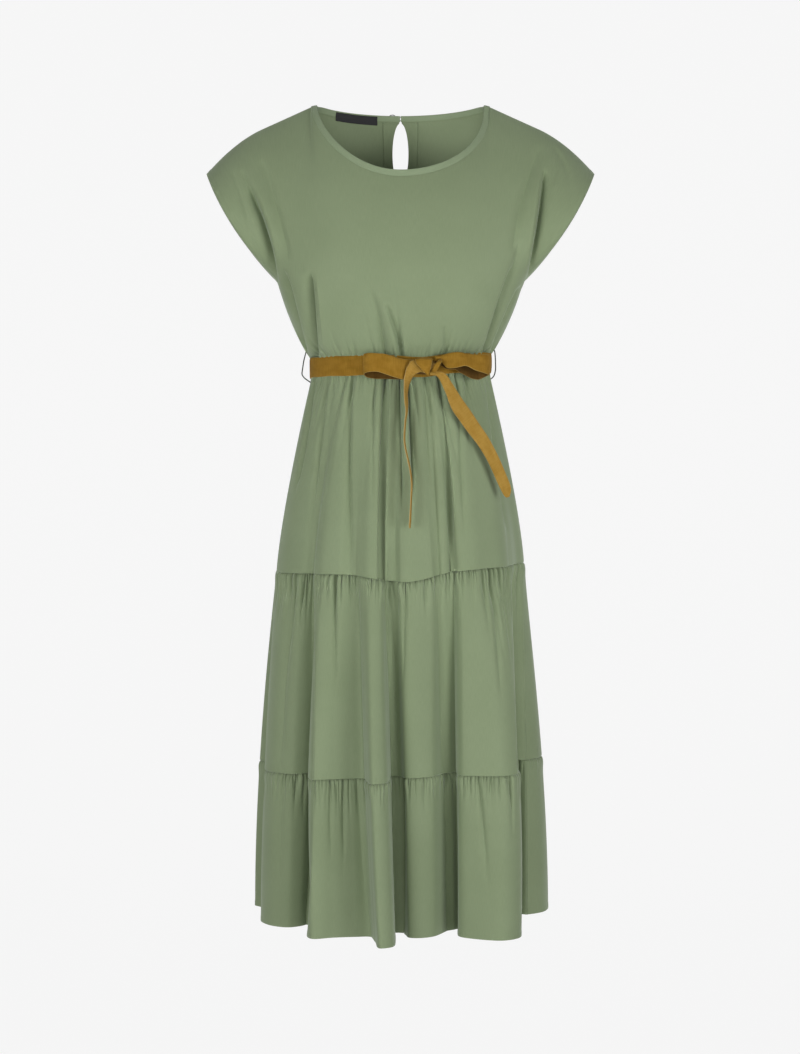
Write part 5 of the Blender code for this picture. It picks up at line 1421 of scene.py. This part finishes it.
# Square lamps: place, the point each is aimed at, width, power in watts and spread in degrees.
Lamp = namedtuple("Lamp", "name place aim size power spread")
LAMPS = [Lamp(*row) for row in (
    ("left lamp", (-2.5, -3.05, -0.55), (0, 0, -0.6), 1.6, 62, 180),
    ("right lamp", (2.5, -3.05, -0.6), (0, 0, -0.6), 1.6, 62, 180),
    ("front lamp", (0.2, -4.2, -1.0), (0, 0, -0.6), 1.4, 42, 180),
    ("left waist lamp", (-3.0, -2.4, -0.3), (-0.08, 0, -0.5), 0.4, 0.11, 15),
    ("right waist lamp", (3.0, -2.4, -0.3), (0.1, 0, -0.48), 0.4, 0.18, 15),
    ("neck lamp", (0.0, -0.045, -0.075), (0.10, 0.05, -0.06), 0.03, 0.014, 90),
)]


def build_camera():
    """A long lens level with the waist, looking a little down."""
    lens = bpy.data.cameras.new("camera")
    lens.sensor_fit = "AUTO"
    lens.sensor_width = SENSOR
    lens.lens = lens.sensor_width * FOCAL_PIXELS / IMAGE_HEIGHT
    camera = bpy.data.objects.new("camera", lens)
    camera.location = CAMERA_PLACE
    camera.rotation_euler = (math.radians(90 - CAMERA_PITCH), 0, 0)
    bpy.context.scene.collection.objects.link(camera)
    bpy.context.scene.camera = camera


def build_lamp(lamp):
    light_data = bpy.data.lights.new(lamp.name, "AREA")
    light_data.shape = "SQUARE"
    light_data.size = lamp.size
    light_data.energy = lamp.power
    light_data.spread = math.radians(lamp.spread)
    light = bpy.data.objects.new(lamp.name, light_data)
    light.location = lamp.place
    toward = np.array(lamp.aim, float) - np.array(lamp.place, float)
    flat = math.hypot(toward[0], toward[1])
    light.rotation_euler = (math.atan2(flat, -toward[2]), 0, math.atan2(-toward[0], toward[1]))
    bpy.context.scene.collection.objects.link(light)


def pale_paper():
    """Grey paper that glows pale behind the dress."""
    def paint(uv, place):
        sideways = place.part(0).math("ABSOLUTE")
        lit = place.part(1).between(GLOW_FROM, GLOW_FULL) * sideways.between(GLOW_FADES, GLOW_ENDS, 1, 0)
        return {"Emission Color": lit.mix(DARK, PALE), "Base Color": lit.mix(GREY, DIM)}
    return finish("pale paper", paint, Roughness=0.9, Specular_IOR_Level=0.0, Emission_Strength=GLOW_STRENGTH)


def build_room():
    """A paper floor that sweeps up into a wall behind the dress, the lamps, and a dim pale sky."""
    sweep = np.linspace(0.1, 1, 12) * math.pi / 2
    flat = np.linspace(FLOOR_FRONT, FLOOR_BACK, 6)
    run = np.concatenate([flat, FLOOR_BACK + SWEEP_RADIUS * np.sin(sweep)])
    rise = np.concatenate([0 * flat, SWEEP_RADIUS * (1 - np.cos(sweep))])
    run, rise = np.append(run, run[-1]), np.append(rise, PAPER_HEIGHT)
    across = (-FLOOR_HALF_WIDTH, FLOOR_HALF_WIDTH)
    points = np.array([[x, y, FLOOR_Z + z] for y, z in zip(run, rise) for x in across])
    mesh = bpy.data.meshes.new("floor")
    mesh.from_pydata(points.tolist(), [], grid_faces(len(run), 2).tolist())
    mesh.shade_smooth()
    mesh.materials.append(pale_paper())
    floor = bpy.data.objects.new("floor", mesh)
    bpy.context.scene.collection.objects.link(floor)

    world = bpy.data.worlds.new("pale sky")
    world.use_nodes = True
    sky = world.node_tree.nodes["Background"]
    sky.inputs["Color"].default_value = PALE
    sky.inputs["Strength"].default_value = SKY_STRENGTH
    bpy.context.scene.world = world
    bpy.context.scene.view_settings.view_transform = "Standard"
    for lamp in LAMPS:
        build_lamp(lamp)


build_skirt()
build_panels()
build_bindings()
build_facing()
build_label()
build_fastening()
build_band()
build_loop("bow_loop_left_suede", LEFT_LOOP, ("bow_loop_left",), -1)
build_loop("bow_loop_right_suede", RIGHT_LOOP, ("bow_loop_right",), 1)
skirt_front = skirt_front_points()
build_tail("belt_tail_left_suede", LEFT_TAIL, skirt_front, ("belt_tail_left",))
build_tail("belt_tail_right_suede", RIGHT_TAIL, skirt_front, ("belt_tail_right",))
build_knot()
build_carriers()
build_camera()
build_room()
